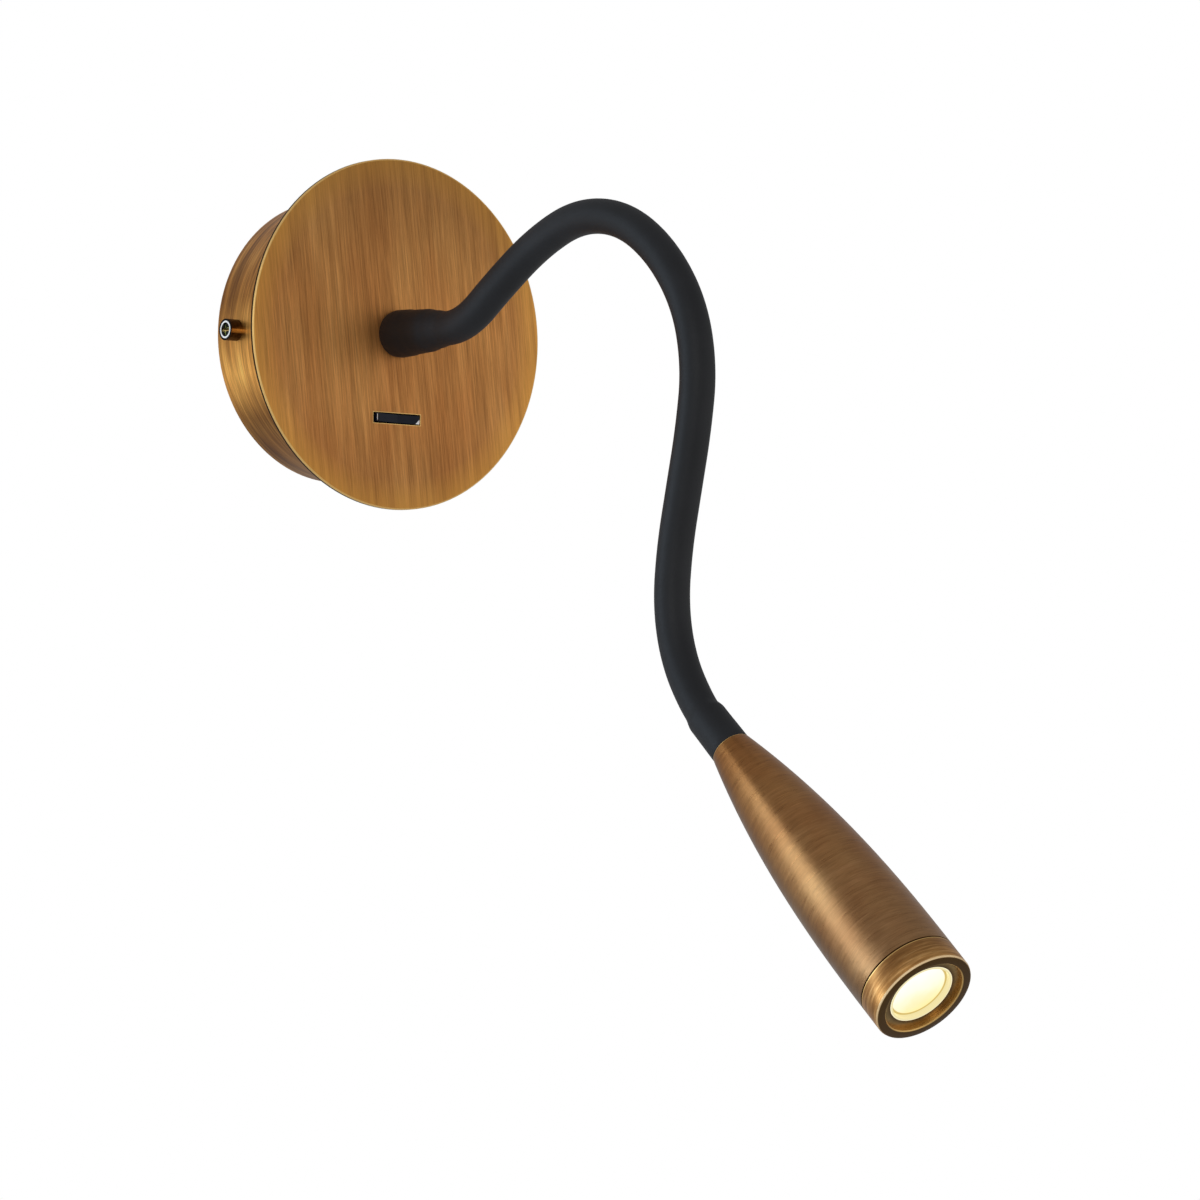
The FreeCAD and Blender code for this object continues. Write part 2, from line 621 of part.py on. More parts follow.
def make_neck():
    """Sleeve, spiral tube and lamp lead, each in links that meet at the bends."""
    stretches, arcs = route_stretches(NECK_ROUTE)
    links, bends = neck_links(stretches, arcs)
    print("neck arcs' radii:", [round(arc[3], 1) for arc in arcs if arc])
    for centre, direction in bends:
        print("bend", [round(value, 4) for value in (*centre, *direction)])
    last = len(links) - 1
    plate, first_end = stretches[0]
    last_start, head_start = stretches[-1]
    outward = (first_end - plate).normalize()
    forward = (head_start - last_start).normalize()
    socket = size("fitting_length") - size("socket_depth")
    board = size("sink_start") + size("sink_length")
    cavity = (size("fitting_radius") + size("fit_gap"), size("fitting_length") + size("fit_gap"))
    for index, edges in enumerate(links):
        ends = (bends[index - 1] if index else None, bends[index] if index < last else None)
        added = []
        removed = []
        spiral_edges = list(edges)
        lead_edges = list(edges)
        if index == 0:
            added = [flare(WALL_FLARE, plate, outward)]
            removed = [Part.makeCylinder(*cavity, plate, outward)]
            spiral_edges[0] = line(plate + outward * socket, first_end)
            lead_edges = route_edges(*route_stretches(LAMP_ROUTE)) + lead_edges
        if index == last:
            added = [flare(HEAD_FLARE, head_start, -forward)]
            removed = [Part.makeCylinder(*cavity, head_start, -forward)]
            spiral_edges[-1] = line(last_start, head_start - forward * socket)
            lead_edges[-1] = line(last_start, head_start + forward * board)
        number = index + 1
        route_piece(f"sleeve_{number}", link_solid(
            edges, size("sleeve_radius"), size("sleeve_bore"), *ends, added, removed))
        route_piece(f"spiral_tube_{number}", link_solid(
            spiral_edges, size("spiral_radius"), size("spiral_bore"), *ends))
        route_piece(f"lamp_lead_{number}", pipe(lead_path(lead_edges, *ends), size("lead_radius")))
    return Placement(head_start, Rotation(Vector(0, 0, 1), forward))


def make_wall_fitting():
    plate = "canopy_depth + disc_thickness"
    inside = "canopy_depth - canopy_wall"
    piece("wall_end_fitting", turned(
        ("fitting_bore", f"{plate} - wall_thread_reach"),
        ("wall_thread / 2", f"{plate} - wall_thread_reach"), ("wall_thread / 2", plate),
        ("fitting_radius", plate), ("fitting_radius", f"{plate} + fitting_length"),
        ("socket_radius", f"{plate} + fitting_length"),
        ("socket_radius", f"{plate} + fitting_length - socket_depth"),
        ("fitting_bore", f"{plate} + fitting_length - socket_depth")))
    piece("neck_lock_washer", cut(
        rod("lock_washer_diameter", "lock_washer_thickness", out=f"{inside} - lock_washer_thickness"),
        rod("neck_hole", "lock_washer_thickness", out=f"{inside} - lock_washer_thickness")))
    nut_start = f"{inside} - lock_washer_thickness - neck_nut_height"
    piece("neck_nut", cut(hexagon("neck_nut_flats", "neck_nut_height", out=nut_start),
                          rod("wall_thread + fit_gap", "neck_nut_height", out=nut_start)))


# ---- Head ------------------------------------------------------------------------------------

def head_radius_at(along):
    """The outer radius of the head: a power curve that flattens towards the bezel."""
    full = size("head_length") - size("bezel_length")
    narrow = size("head_neck_radius")
    left = max(0, 1 - along / full)
    return size("head_radius") - (size("head_radius") - narrow) * left ** size("head_curve_power")


def make_head_shell(head):
    """A thin turned shell with a smooth outer curve, drawn with splines through its own formula."""
    full = size("head_length") - size("bezel_length")
    floor = size("head_neck_wall")
    seat = size("sink_start")
    counterbore = seat + size("sink_length") - size("sink_flange")
    wall = size("head_wall")

    def corner(radius, along):
        return Vector(radius, 0, along)

    outer_stations = [full * step / 8 for step in range(9)]
    inner_stations = [floor + (seat - 4 - floor) * step / 5 for step in range(6)]
    outer = Part.BSplineCurve()
    outer.interpolate([corner(head_radius_at(along), along) for along in outer_stations])
    inner = Part.BSplineCurve()
    inner.interpolate([corner(head_radius_at(along) - wall, along) for along in inner_stations])
    thread = size("head_thread") / 2 + size("fit_gap")
    corners = [outer.EndPoint, corner(size("head_bore"), full), corner(size("head_bore"), counterbore),
               corner(size("sink_seat"), counterbore), corner(size("sink_seat"), seat - 2),
               inner.EndPoint]
    edges = [outer.toShape()] + [line(*pair) for pair in zip(corners, corners[1:])]
    edges.append(inner.toShape())
    corners = [inner.StartPoint, corner(thread, floor), corner(thread, 0), outer.StartPoint]
    edges += [line(*pair) for pair in zip(corners, corners[1:])]
    profile = Part.Face(Part.Wire(Part.__sortEdges__(edges)))
    item = doc.addObject("Part::Feature", "head_shell")
    item.Shape = profile.revolve(Vector(), Vector(0, 0, 1), 360)
    piece("head_shell", item, head)


def make_head_fitting(head):
    socket = "-(fitting_length - socket_depth)"
    piece("head_end_fitting", turned(
        ("fitting_bore", socket), ("socket_radius", socket), ("socket_radius", "-fitting_length"),
        ("fitting_radius", "-fitting_length"), ("fitting_radius", "0"), ("head_thread / 2", "0"),
        ("head_thread / 2", "head_thread_reach"), ("fitting_bore", "head_thread_reach")), head)
    piece("head_nut", cut(hexagon("head_nut_flats", "head_nut_height", out="head_neck_wall"),
                          rod("head_thread + fit_gap", "head_nut_height", out="head_neck_wall")), head)


def make_heat_sink(head):
    flange = "sink_start + sink_length - sink_flange"
    outline = [("fitting_bore", "sink_start"), ("sink_radius", "sink_start")]
    for fin in range(3):
        gap_start = f"sink_start + fin_pitch * {fin + 1} - fin_gap"
        gap_end = f"sink_start + fin_pitch * {fin + 1}"
        outline += [("sink_radius", gap_start), ("sink_core", gap_start), ("sink_core", gap_end),
                    ("sink_radius", gap_end)]
    outline += [("sink_radius", flange), ("sink_flange_radius", flange),
                ("sink_flange_radius", "sink_start + sink_length"),
                ("fitting_bore", "sink_start + sink_length")]
    tapped = [rod("led_screw + fit_gap", "led_screw_depth + 1", f"led_screw_circle / 2 * {side}",
                  out="sink_start + sink_length - led_screw_depth") for side in (-1, 1)]
    piece("heat_sink", cut(turned(*outline), *tapped), head)


def make_led(head):
    board_start = "sink_start + sink_length"
    board_front = "sink_start + sink_length + led_board_thickness"
    holes = [rod("led_screw + 0.2", "led_board_thickness", f"led_screw_circle / 2 * {side}",
                 out=board_start) for side in (-1, 1)]
    piece("led_board", cut(rod("led_board_radius * 2", "led_board_thickness", out=board_start),
                           *holes), head)
    piece("led_chip", rod("chip_radius * 2", "chip_height", out=board_front), head)
    piece("led_board_screws", group(*[
        screw("led_screw", "led_board_thickness + led_screw_depth - 0.5", "led_screw * 1.8", "1.4",
              f"led_screw_circle / 2 * {side}", out=board_front) for side in (-1, 1)]), head)


def make_front(head):
    seam = "head_length - bezel_length"
    lip = "head_length - bezel_lip"
    piece("bezel", turned(
        ("head_radius", seam), ("head_radius", "head_length - bezel_edge"),
        ("head_radius - bezel_edge", "head_length"), ("bezel_mouth", "head_length"),
        ("bezel_mouth", lip), ("bezel_bore", lip), ("bezel_bore", f"{seam} - bezel_spigot"),
        ("bezel_spigot_radius", f"{seam} - bezel_spigot"), ("bezel_spigot_radius", seam)), head)
    board_front = "sink_start + sink_length + led_board_thickness"
    flange = f"{lip} - ring_flange"
    piece("lens_ring", turned(
        ("ring_mouth", lip), ("ring_radius", lip), ("ring_radius", board_front),
        ("ring_radius - ring_wall", board_front), ("ring_radius - ring_wall", flange),
        ("ring_mouth", flange)), head)
    face = f"{lip} - lens_recess"
    piece("lens", turned(
        ("0", f"{face} - lens_dish"), ("lens_radius - lens_rim", f"{face} - lens_dish"),
        ("lens_radius - lens_rim", face), ("lens_radius", face), ("lens_radius", flange),
        ("lens_flange_radius", flange),
        ("lens_flange_radius", f"{flange} - lens_flange"),
        ("lens_flange_radius - 1", f"{flange} - lens_flange"), ("lens_tail_radius", board_front),
        ("lens_tail_radius - 0.8", board_front), ("lens_tail_radius - 1", f"{board_front} + 2.4"),
        ("lens_tail_radius / 2", f"{board_front} + lens_pocket"),
        ("0", f"{board_front} + lens_pocket")), head)


# ---- Build, test and write -------------------------------------------------------------------

make_canopy()
make_face_plate()
make_wall_bracket()
make_side_screws()
make_switch()
make_rocker()
make_driver()
make_terminal_block()
make_earth_screw()
make_wires()
make_wall_fitting()
head_frame = make_neck()
make_head_fitting(head_frame)
make_head_shell(head_frame)
make_heat_sink(head_frame)
make_led(head_frame)
make_front(head_frame)
doc.recompute()

for item in doc.Objects:
    if {"Invalid", "Error"} & set(item.State):
        raise RuntimeError(f"{item.Label} failed: {item.State}")
for item in pieces:
    if item.Shape.isNull() or not item.Shape.isValid() or not item.Shape.Solids:
        raise RuntimeError(f"{item.Label} has no valid solid")

os.makedirs("parts", exist_ok=True)
for item in pieces:
    item.Shape.exportStep(f"parts/{item.Label}.step")
print(len(pieces), "pieces written")
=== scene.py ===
import json
import math

import bmesh
import bpy
from mathutils import Matrix, Vector


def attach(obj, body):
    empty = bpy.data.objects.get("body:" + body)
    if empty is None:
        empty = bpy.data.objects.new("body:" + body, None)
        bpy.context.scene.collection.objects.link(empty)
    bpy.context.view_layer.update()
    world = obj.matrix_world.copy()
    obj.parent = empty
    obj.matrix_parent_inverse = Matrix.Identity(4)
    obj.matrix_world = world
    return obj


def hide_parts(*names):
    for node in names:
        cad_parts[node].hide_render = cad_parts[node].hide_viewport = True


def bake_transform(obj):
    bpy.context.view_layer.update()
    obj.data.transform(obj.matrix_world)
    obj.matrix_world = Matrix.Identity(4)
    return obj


# Looks for the bedside wall reading lamp. Metres, +Z up, the wall is the plane y = 0 and the lamp
# stands out of it towards -Y.

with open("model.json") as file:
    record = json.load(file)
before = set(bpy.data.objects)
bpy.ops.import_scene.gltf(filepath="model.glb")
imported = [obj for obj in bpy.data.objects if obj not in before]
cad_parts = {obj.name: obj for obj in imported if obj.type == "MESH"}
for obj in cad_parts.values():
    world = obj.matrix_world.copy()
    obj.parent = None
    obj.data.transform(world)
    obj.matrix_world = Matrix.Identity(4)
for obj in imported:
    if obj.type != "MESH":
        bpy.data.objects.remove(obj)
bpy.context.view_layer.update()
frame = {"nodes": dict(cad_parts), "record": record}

# The camera, from a fit to the two circles at the wall, the head's rim and the neck.
CAMERA_AZIMUTH, CAMERA_ELEVATION, CAMERA_ROLL = -37.5126, -3.3265, 0.5300
CAMERA_DISTANCE, CAMERA_SHIFT, CAMERA_CLIP = 2.400, (-0.0917067, 0.0891783), (0.1, 60)
SENSOR_WIDTH, FOCAL_PIXELS, PHOTO_WIDTH = 36.0, 6946.2, 1200

# What the lights face, and for each its place from there along the camera's right, up and back, its
# size, its watts and its colour.
LIGHT_TARGET = 0, -0.17, -0.06
WHITE, COOL_WHITE = (1, 1, 1), (0.82, 1.0, 1.20)
SOFTBOXES = {
    "key": ((-1.45, 0.08, 0.20), (0.50, 1.9), 7.6, COOL_WHITE),
    "side": ((-1.38, -0.45, -0.42), (0.60, 0.45), 0.2, WHITE),
    "top": ((-0.20, 1.45, 0.0), (1.3, 1.1), 0.3, WHITE),
    "fill": ((1.40, -0.05, 0.45), (1.8, 1.8), 3.6, WHITE),
    "front": ((-0.2, 0.5, 1.9), (0.9, 0.9), 6, WHITE),
}
# The surround's glow low down and high up, each as a height from 0 to 1 and a grey.
SURROUND_GLOW = (0.10, (0.58, 0.58, 0.58)), (0.85, (0.36, 0.36, 0.37))

FLOOR_RADIUS, FLOOR_SIDES, FLOOR_PLACE = 2.6, 96, (0, -0.15, -1.4)
FLOOR_COLOUR, FLOOR_ROUGHNESS = (0.86, 0.86, 0.86), 0.9
# The floor's own light, which only the camera sees, so that it looks as pale as it is.
FLOOR_LIFT = 0.42

# The gooseneck's route in the rest pose, from the face plate to the head.
NECK_ROUTE = [
    (0, -0.0373, 0), (0, -0.0565, 0), (0, -0.076, 0), (0, -0.0955, 0.013), (0, -0.1165, 0.025),
    (0, -0.139, 0.0323), (0, -0.1625, 0.0295), (0, -0.183, 0.017), (0, -0.198, -0.0015),
    (0, -0.2033, -0.0225), (0, -0.2005, -0.0425), (0, -0.1958, -0.0615), (0, -0.1913, -0.080),
    (0, -0.1895, -0.099), (-0.0004, -0.1945, -0.117), (-0.0016, -0.2065, -0.1322),
    (-0.00105, -0.2144, -0.1392), (-0.0005, -0.2223, -0.1462),
]
# With this resolution Blender gives 289 points for the route's 18, so each run's middle is one.
ROUTE_ORDER, ROUTE_RESOLUTION, POINTS_PER_RUN = 3, 17, 18
NECK_BODIES = ["base"] + [f"neck_link_{number}" for number in range(2, 8)] + ["head"]
# Half the length of neck that turns at each bend.
BEND_REACH = [0.0167, 0.019, 0.019, 0.0179, 0.016, 0.015, 0.0125]

SLEEVE_RADIUS, SLEEVE_BORE = 0.00585, 0.00475
TUBE_RADIUS, TUBE_BORE, TUBE_SOCKET = 0.0046, 0.0032, 0.004
# The fittings inside the sleeve's ends.
FITTING_BORE, FITTING_LENGTH = 0.0062, 0.0161
# The sleeve's thick ends, as distance from the plate or the head and radius there.
WALL_FLARE = [(0, 0.00785), (0.0006, 0.0082), (0.0075, 0.0080), (0.0100, 0.00762), (0.0185, 0.00735),
              (0.0225, 0.0066), (0.0290, SLEEVE_RADIUS)]
HEAD_FLARE = [(0, 0.0064), (0.0005, 0.00675), (0.0150, 0.0066), (0.0195, SLEEVE_RADIUS)]

# The base and the head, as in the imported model. The head's lengths start at its narrow end.
DISC_RADIUS, DRUM_RADIUS, PLATE_BACK = 0.060, 0.0488, -0.0358
SLOT_LONG, SLOT_HIGH, SLOT_DROP = 0.0099, 0.00185, 0.0289
ROCKER_LONG, ROCKER_HIGH = 0.0092, 0.0014
SCREW_OUT, SCREW_FACE, SCREW_RADIUS = 0.011, 0.0533, 0.0037
HEAD_LENGTH, BEZEL_LENGTH = 0.1186, 0.0095
HEAD_SEAM = HEAD_LENGTH - BEZEL_LENGTH
HEAD_RADIUS, HEAD_NECK_RADIUS, HEAD_CURVE_POWER = 0.01705, 0.00685, 2.4
HEAD_WALL, HEAD_BORE, HEAD_STEPS = 0.0015, 0.01505, 64
NARROW_BORE, NARROW_WALL, CAVITY_RADIUS = 0.0041, 0.003, 0.0055
SEAT_BORE, SEAT_START, SEAT_END = 0.0145, 0.070, 0.091
BEZEL_MOUTH, BEZEL_BORE, BEZEL_LIP = 0.0138, 0.01435, 0.0018
SPIGOT_RADIUS, SPIGOT_LENGTH = 0.01495, 0.0055
RING_MOUTH, LENS_RADIUS, LENS_RIM = 0.0112, 0.0111, 0.0008
FINE_EDGE, FRONT_EDGE, SEAM_GAP = 0.0003, 0.0007, 0.00005
ROUND_SHARE = 1 - math.sqrt(0.5)

# How finely round pieces are cut, and the angles in degrees from which an edge is sharp.
LATHE_SIDES, HOSE_SIDES = 128, 56
CAD_SHARP, LATHE_SHARP, HOSE_SHARP = 30, 35, 50


# ---- Camera and light ------------------------------------------------------------------------

def camera_axes():
    azimuth, elevation, roll = map(math.radians, (CAMERA_AZIMUTH, CAMERA_ELEVATION, CAMERA_ROLL))
    right = Vector((math.cos(azimuth), math.sin(azimuth), 0))
    back = Vector((math.sin(azimuth) * math.cos(elevation), -math.cos(azimuth) * math.cos(elevation),
                   math.sin(elevation)))
    up = back.cross(right)
    return (right * math.cos(roll) + up * math.sin(roll), up * math.cos(roll) - right * math.sin(roll),
            back)


def add_camera():
    right, up, back = camera_axes()
    data = bpy.data.cameras.new("camera")
    data.sensor_width = SENSOR_WIDTH
    data.lens = FOCAL_PIXELS / PHOTO_WIDTH * SENSOR_WIDTH
    data.clip_start, data.clip_end = CAMERA_CLIP
    camera = bpy.data.objects.new("camera", data)
    place = back * CAMERA_DISTANCE - right * CAMERA_SHIFT[0] - up * CAMERA_SHIFT[1]
    camera.matrix_world = Matrix.Translation(place) @ Matrix((right, up, back)).transposed().to_4x4()
    bpy.context.scene.collection.objects.link(camera)
    bpy.context.scene.camera = camera


def add_softbox(name, where, size, watts, colour):
    """An oblong light that faces the lamp."""
    data = bpy.data.lights.new(name, "AREA")
    data.shape = "RECTANGLE"
    data.size, data.size_y = size
    data.energy = watts
    data.color = colour
    light = bpy.data.objects.new(name, data)
    right, up, back = camera_axes()
    place = right * where[0] + up * where[1] + back * where[2]
    light.location = Vector(LIGHT_TARGET) + place
    light.rotation_mode = "QUATERNION"
    light.rotation_quaternion = place.to_track_quat("Z", "Y")
    bpy.context.scene.collection.objects.link(light)


def add_world():
    """A white surround to look at, and a softer one that lights the lamp."""
    world = bpy.data.worlds.new("studio")
    world.use_nodes = True
    nodes, links = world.node_tree.nodes, world.node_tree.links
    nodes.clear()
    output = nodes.new("ShaderNodeOutputWorld")
    mix = nodes.new("ShaderNodeMixShader")
    rays = nodes.new("ShaderNodeLightPath")
    seen = nodes.new("ShaderNodeBackground")
    seen.inputs["Color"].default_value = (*WHITE, 1)
    glow = nodes.new("ShaderNodeBackground")
    place = nodes.new("ShaderNodeTexCoord")
    split = nodes.new("ShaderNodeSeparateXYZ")
    ramp = nodes.new("ShaderNodeValToRGB")
    for element, (position, grey) in zip(ramp.color_ramp.elements, SURROUND_GLOW):
        element.position = position
        element.color = (*grey, 1)
    height = nodes.new("ShaderNodeMapRange")
    height.inputs["From Min"].default_value = -1
    height.inputs["From Max"].default_value = 1
    links.new(place.outputs["Generated"], split.inputs["Vector"])
    links.new(split.outputs["Z"], height.inputs["Value"])
    links.new(height.outputs["Result"], ramp.inputs["Fac"])
    links.new(ramp.outputs["Color"], glow.inputs["Color"])
    links.new(rays.outputs["Is Camera Ray"], mix.inputs["Fac"])
    links.new(glow.outputs["Background"], mix.inputs[1])
    links.new(seen.outputs["Background"], mix.inputs[2])
    links.new(mix.outputs["Shader"], output.inputs["Surface"])
    bpy.context.scene.world = world


# ---- Tools for materials ---------------------------------------------------------------------

# A mix node's sockets for its share, its two colours and its result.
MIX_SHARE, MIX_FIRST, MIX_SECOND, MIX_RESULT = 0, 6, 7, 2
# The depth of a surface's grain, and how strongly it shows.
FAINT_GRAIN, DEEPER_GRAIN, GRAIN_STRENGTH = 0.00003, 0.00004, 0.3


class Finish:
    """A node material with a Principled shader, and short ways to add the nodes that feed it."""

    def __init__(self, name, metallic=0.0, **values):
        self.material = bpy.data.materials.new(name)
        self.material.use_nodes = True
        self.nodes = self.material.node_tree.nodes
        self.links = self.material.node_tree.links
        self.shader = self.nodes["Principled BSDF"]
        self.shader.inputs["Metallic"].default_value = metallic
        for socket, value in values.items():
            self.shader.inputs[socket.replace("_", " ")].default_value = value

    def feed(self, target, value):
        """Links a socket to the one that is given, or sets it to the value."""
        if isinstance(value, bpy.types.NodeSocket):
            self.links.new(value, target)
        else:
            target.default_value = value

    def node(self, kind, **inputs):
        made = self.nodes.new(kind)
        for socket, value in inputs.items():
            self.feed(made.inputs[socket.replace("_", " ")], value)
        return made

    def place(self, turn=(0, 0, 0), stretch=(1, 1, 1), origin=(0, 0, 0)):
        """The object's own coordinates, moved, turned and then stretched."""
        where = self.nodes.new("ShaderNodeTexCoord").outputs["Object"]
        moved = self.node("ShaderNodeVectorMath", Vector=where)
        moved.operation = "SUBTRACT"
        moved.inputs[1].default_value = origin
        turned = self.node("ShaderNodeVectorRotate", Vector=moved.outputs["Vector"])
        turned.rotation_type = "EULER_XYZ"
        turned.inputs["Rotation"].default_value = turn
        scaled = self.node("ShaderNodeVectorMath", Vector=turned.outputs["Vector"])
        scaled.operation = "MULTIPLY"
        scaled.inputs[1].default_value = stretch
        return scaled.outputs["Vector"]

    def axes(self, vector):
        split = self.node("ShaderNodeSeparateXYZ", Vector=vector)
        return split.outputs["X"], split.outputs["Y"], split.outputs["Z"]

    def length(self, vector):
        measure = self.node("ShaderNodeVectorMath", Vector=vector)
        measure.operation = "LENGTH"
        return measure.outputs["Value"]

    def noise(self, vector, scale=1.0, detail=2.0, roughness=0.55):
        return self.node("ShaderNodeTexNoise", Vector=vector, Scale=scale, Detail=detail,
                         Roughness=roughness).outputs["Fac"]

    def ramp(self, value, *stops):
        """A value as a colour, from stops that are each a position and a colour or a grey."""
        made = self.node("ShaderNodeValToRGB", Fac=value)
        elements = made.color_ramp.elements
        while len(elements) < len(stops):
            elements.new(0.5)
        for element, (position, colour) in zip(elements, stops):
            element.position = position
            element.color = (*colour, 1) if isinstance(colour, tuple) else (colour,) * 3 + (1,)
        return made.outputs["Color"]

    def blend(self, share, first, second, kind="MIX"):
        made = self.nodes.new("ShaderNodeMix")
        made.data_type = "RGBA"
        made.blend_type = kind
        for index, value in ((MIX_SHARE, share), (MIX_FIRST, first), (MIX_SECOND, second)):
            self.feed(made.inputs[index], (*value, 1) if isinstance(value, tuple) else value)
        return made.outputs[MIX_RESULT]

    def tinted(self, colour, tint):
        return self.blend(1.0, colour, tint, "MULTIPLY")

    def math(self, operation, first, second=0.0):
        made = self.nodes.new("ShaderNodeMath")
        made.operation = operation
        self.feed(made.inputs[0], first)
        self.feed(made.inputs[1], second)
        return made.outputs["Value"]

    def all_of(self, first, *others):
        """A mask where all of these are."""
        for mask in others:
            first = self.math("MULTIPLY", first, mask)
        return first

    def between(self, value, low, high):
        """A value from 0 to 1, moved into a range."""
        return self.node("ShaderNodeMapRange", Value=value, To_Min=low, To_Max=high).outputs["Result"]

    def past(self, value, start, end):
        """A mask that rises from 0 where a value is at the start to 1 at the end."""
        return self.node("ShaderNodeMapRange", Value=value, From_Min=start,
                         From_Max=end).outputs["Result"]

    def line(self, value, place, width):
        """A mask that is 1 in a thin line where a value is at a place, fading to both sides."""
        off = self.math("ABSOLUTE", self.math("SUBTRACT", value, place))
        return self.node("ShaderNodeMapRange", Value=off, From_Min=width / 2, From_Max=width,
                         To_Min=1.0, To_Max=0.0).outputs["Result"]

    def dull(self, mask):
        """Takes the metal's mirror away where a mask is."""
        self.links.new(self.math("SUBTRACT", 1.0, mask), self.shader.inputs["Metallic"])

    def use(self, colour=None, roughness=None, height=None, depth=FAINT_GRAIN,
            strength=GRAIN_STRENGTH):
        if colour:
            self.links.new(colour, self.shader.inputs["Base Color"])
        if roughness:
            self.links.new(roughness, self.shader.inputs["Roughness"])
        if height:
            bump = self.node("ShaderNodeBump", Height=height, Strength=strength, Distance=depth)
            self.links.new(bump.outputs["Normal"], self.shader.inputs["Normal"])
        return self.material


# ---- Stage -----------------------------------------------------------------------------------

def add_floor():
    """The bedroom floor, at the distance below the lamp that it has in use."""
    bpy.ops.mesh.primitive_circle_add(vertices=FLOOR_SIDES, radius=FLOOR_RADIUS, fill_type="NGON",
                                      location=FLOOR_PLACE)
    floor = bpy.context.object
    floor.name = "floor"
    pale = Finish("pale_floor", Base_Color=(*FLOOR_COLOUR, 1), Roughness=FLOOR_ROUGHNESS,
                  Emission_Color=(*WHITE, 1))
    seen = pale.nodes.new("ShaderNodeLightPath").outputs["Is Camera Ray"]
    pale.links.new(pale.math("MULTIPLY", seen, FLOOR_LIFT), pale.shader.inputs["Emission Strength"])
    floor.data.materials.append(pale.material)


# ---- Brass -----------------------------------------------------------------------------------

# The plating's painted highlight, its golden wear with a painted glow, its dark patina and painted
# shade, and the painted shadow in its joints, on all of its surfaces.
BRASS_HIGHLIGHT, GOLDEN_WEAR_AND_GLOW = (0.95, 0.62, 0.22), (0.82, 0.40, 0.072)
DARK_PATINA_AND_SHADE, SEAM_SHADOW = (0.115, 0.060, 0.018), (0.030, 0.011, 0.002)
# Where the noises' values turn into the tones of streaks, of grain and of patches.
STREAK_STOPS, GRAIN_STOPS, PATCH_STOPS = (0.30, 0.5, 0.72), (0.34, 0.5, 0.66), (0.32, 0.68)
PATCH_TINTS = (0.88, 0.80, 0.74), (1.08, 1.13, 1.12)
FINE_DETAIL, FINE_ROUGHNESS, STREAK_ROUGHNESS = 5, 0.75, 0.65


def brushed_noises(finish, place, frequencies, streak_detail=5, patch_detail=2):
    """Fine grain, streaks and patches, each with its frequencies along the place's three axes."""
    fine, streaks, patches = frequencies
    return (finish.noise(place(fine), detail=FINE_DETAIL, roughness=FINE_ROUGHNESS),
            finish.noise(place(streaks), detail=streak_detail, roughness=STREAK_ROUGHNESS),
            finish.noise(place(patches), detail=patch_detail))


def brushed_colour(finish, colours, noises, contrast):
    """Plating with fine grain, streaks of patina and a slow change of tone."""
    fine, streaks, patches = noises
    colour = finish.ramp(streaks, *zip(STREAK_STOPS, colours))
    grain = finish.ramp(fine, *zip(GRAIN_STOPS, (1 - contrast, 1.0, 1 + contrast)))
    tone = finish.ramp(patches, *zip(PATCH_STOPS, PATCH_TINTS))
    return finish.tinted(finish.tinted(colour, grain), tone)


# Each surface of the plating has its colours where it is darkened, plain and rubbed bright. A
# tone's stops run from 0 at its start to 1 at its end, and a mask has its range in metres.
PLATE_BRASS = (0.44, 0.194, 0.056), (0.56, 0.255, 0.075), (0.68, 0.325, 0.102)
PLATE_GRAIN = (2100, 60, 55), (420, 60, 14), (46, 40, 17)
PLATE_LEAN, PLATE_CONTRAST, PLATE_ROUGHNESS = 7, 0.30, (0.42, 0.60)
PLATE_HEIGHT_SHADE = (0.0, 0.84), (0.25, 1.0), (0.58, 1.04), (0.80, 0.77), (1.0, 0.60)
PLATE_WEAR_AND_GLOW, PLATE_WEAR_AND_GLOW_SHARES = (0.050, DISC_RADIUS - 0.0004), (0.0, 1.1)
PLATE_RIM_HIGHLIGHT = DISC_RADIUS - 0.0006, DISC_RADIUS - 0.0002
PLATE_BEHIND_SHADOW = PLATE_BACK - 0.0010, PLATE_BACK - 0.0008
SLOT_HIGHLIGHT_LINE = 0.00025


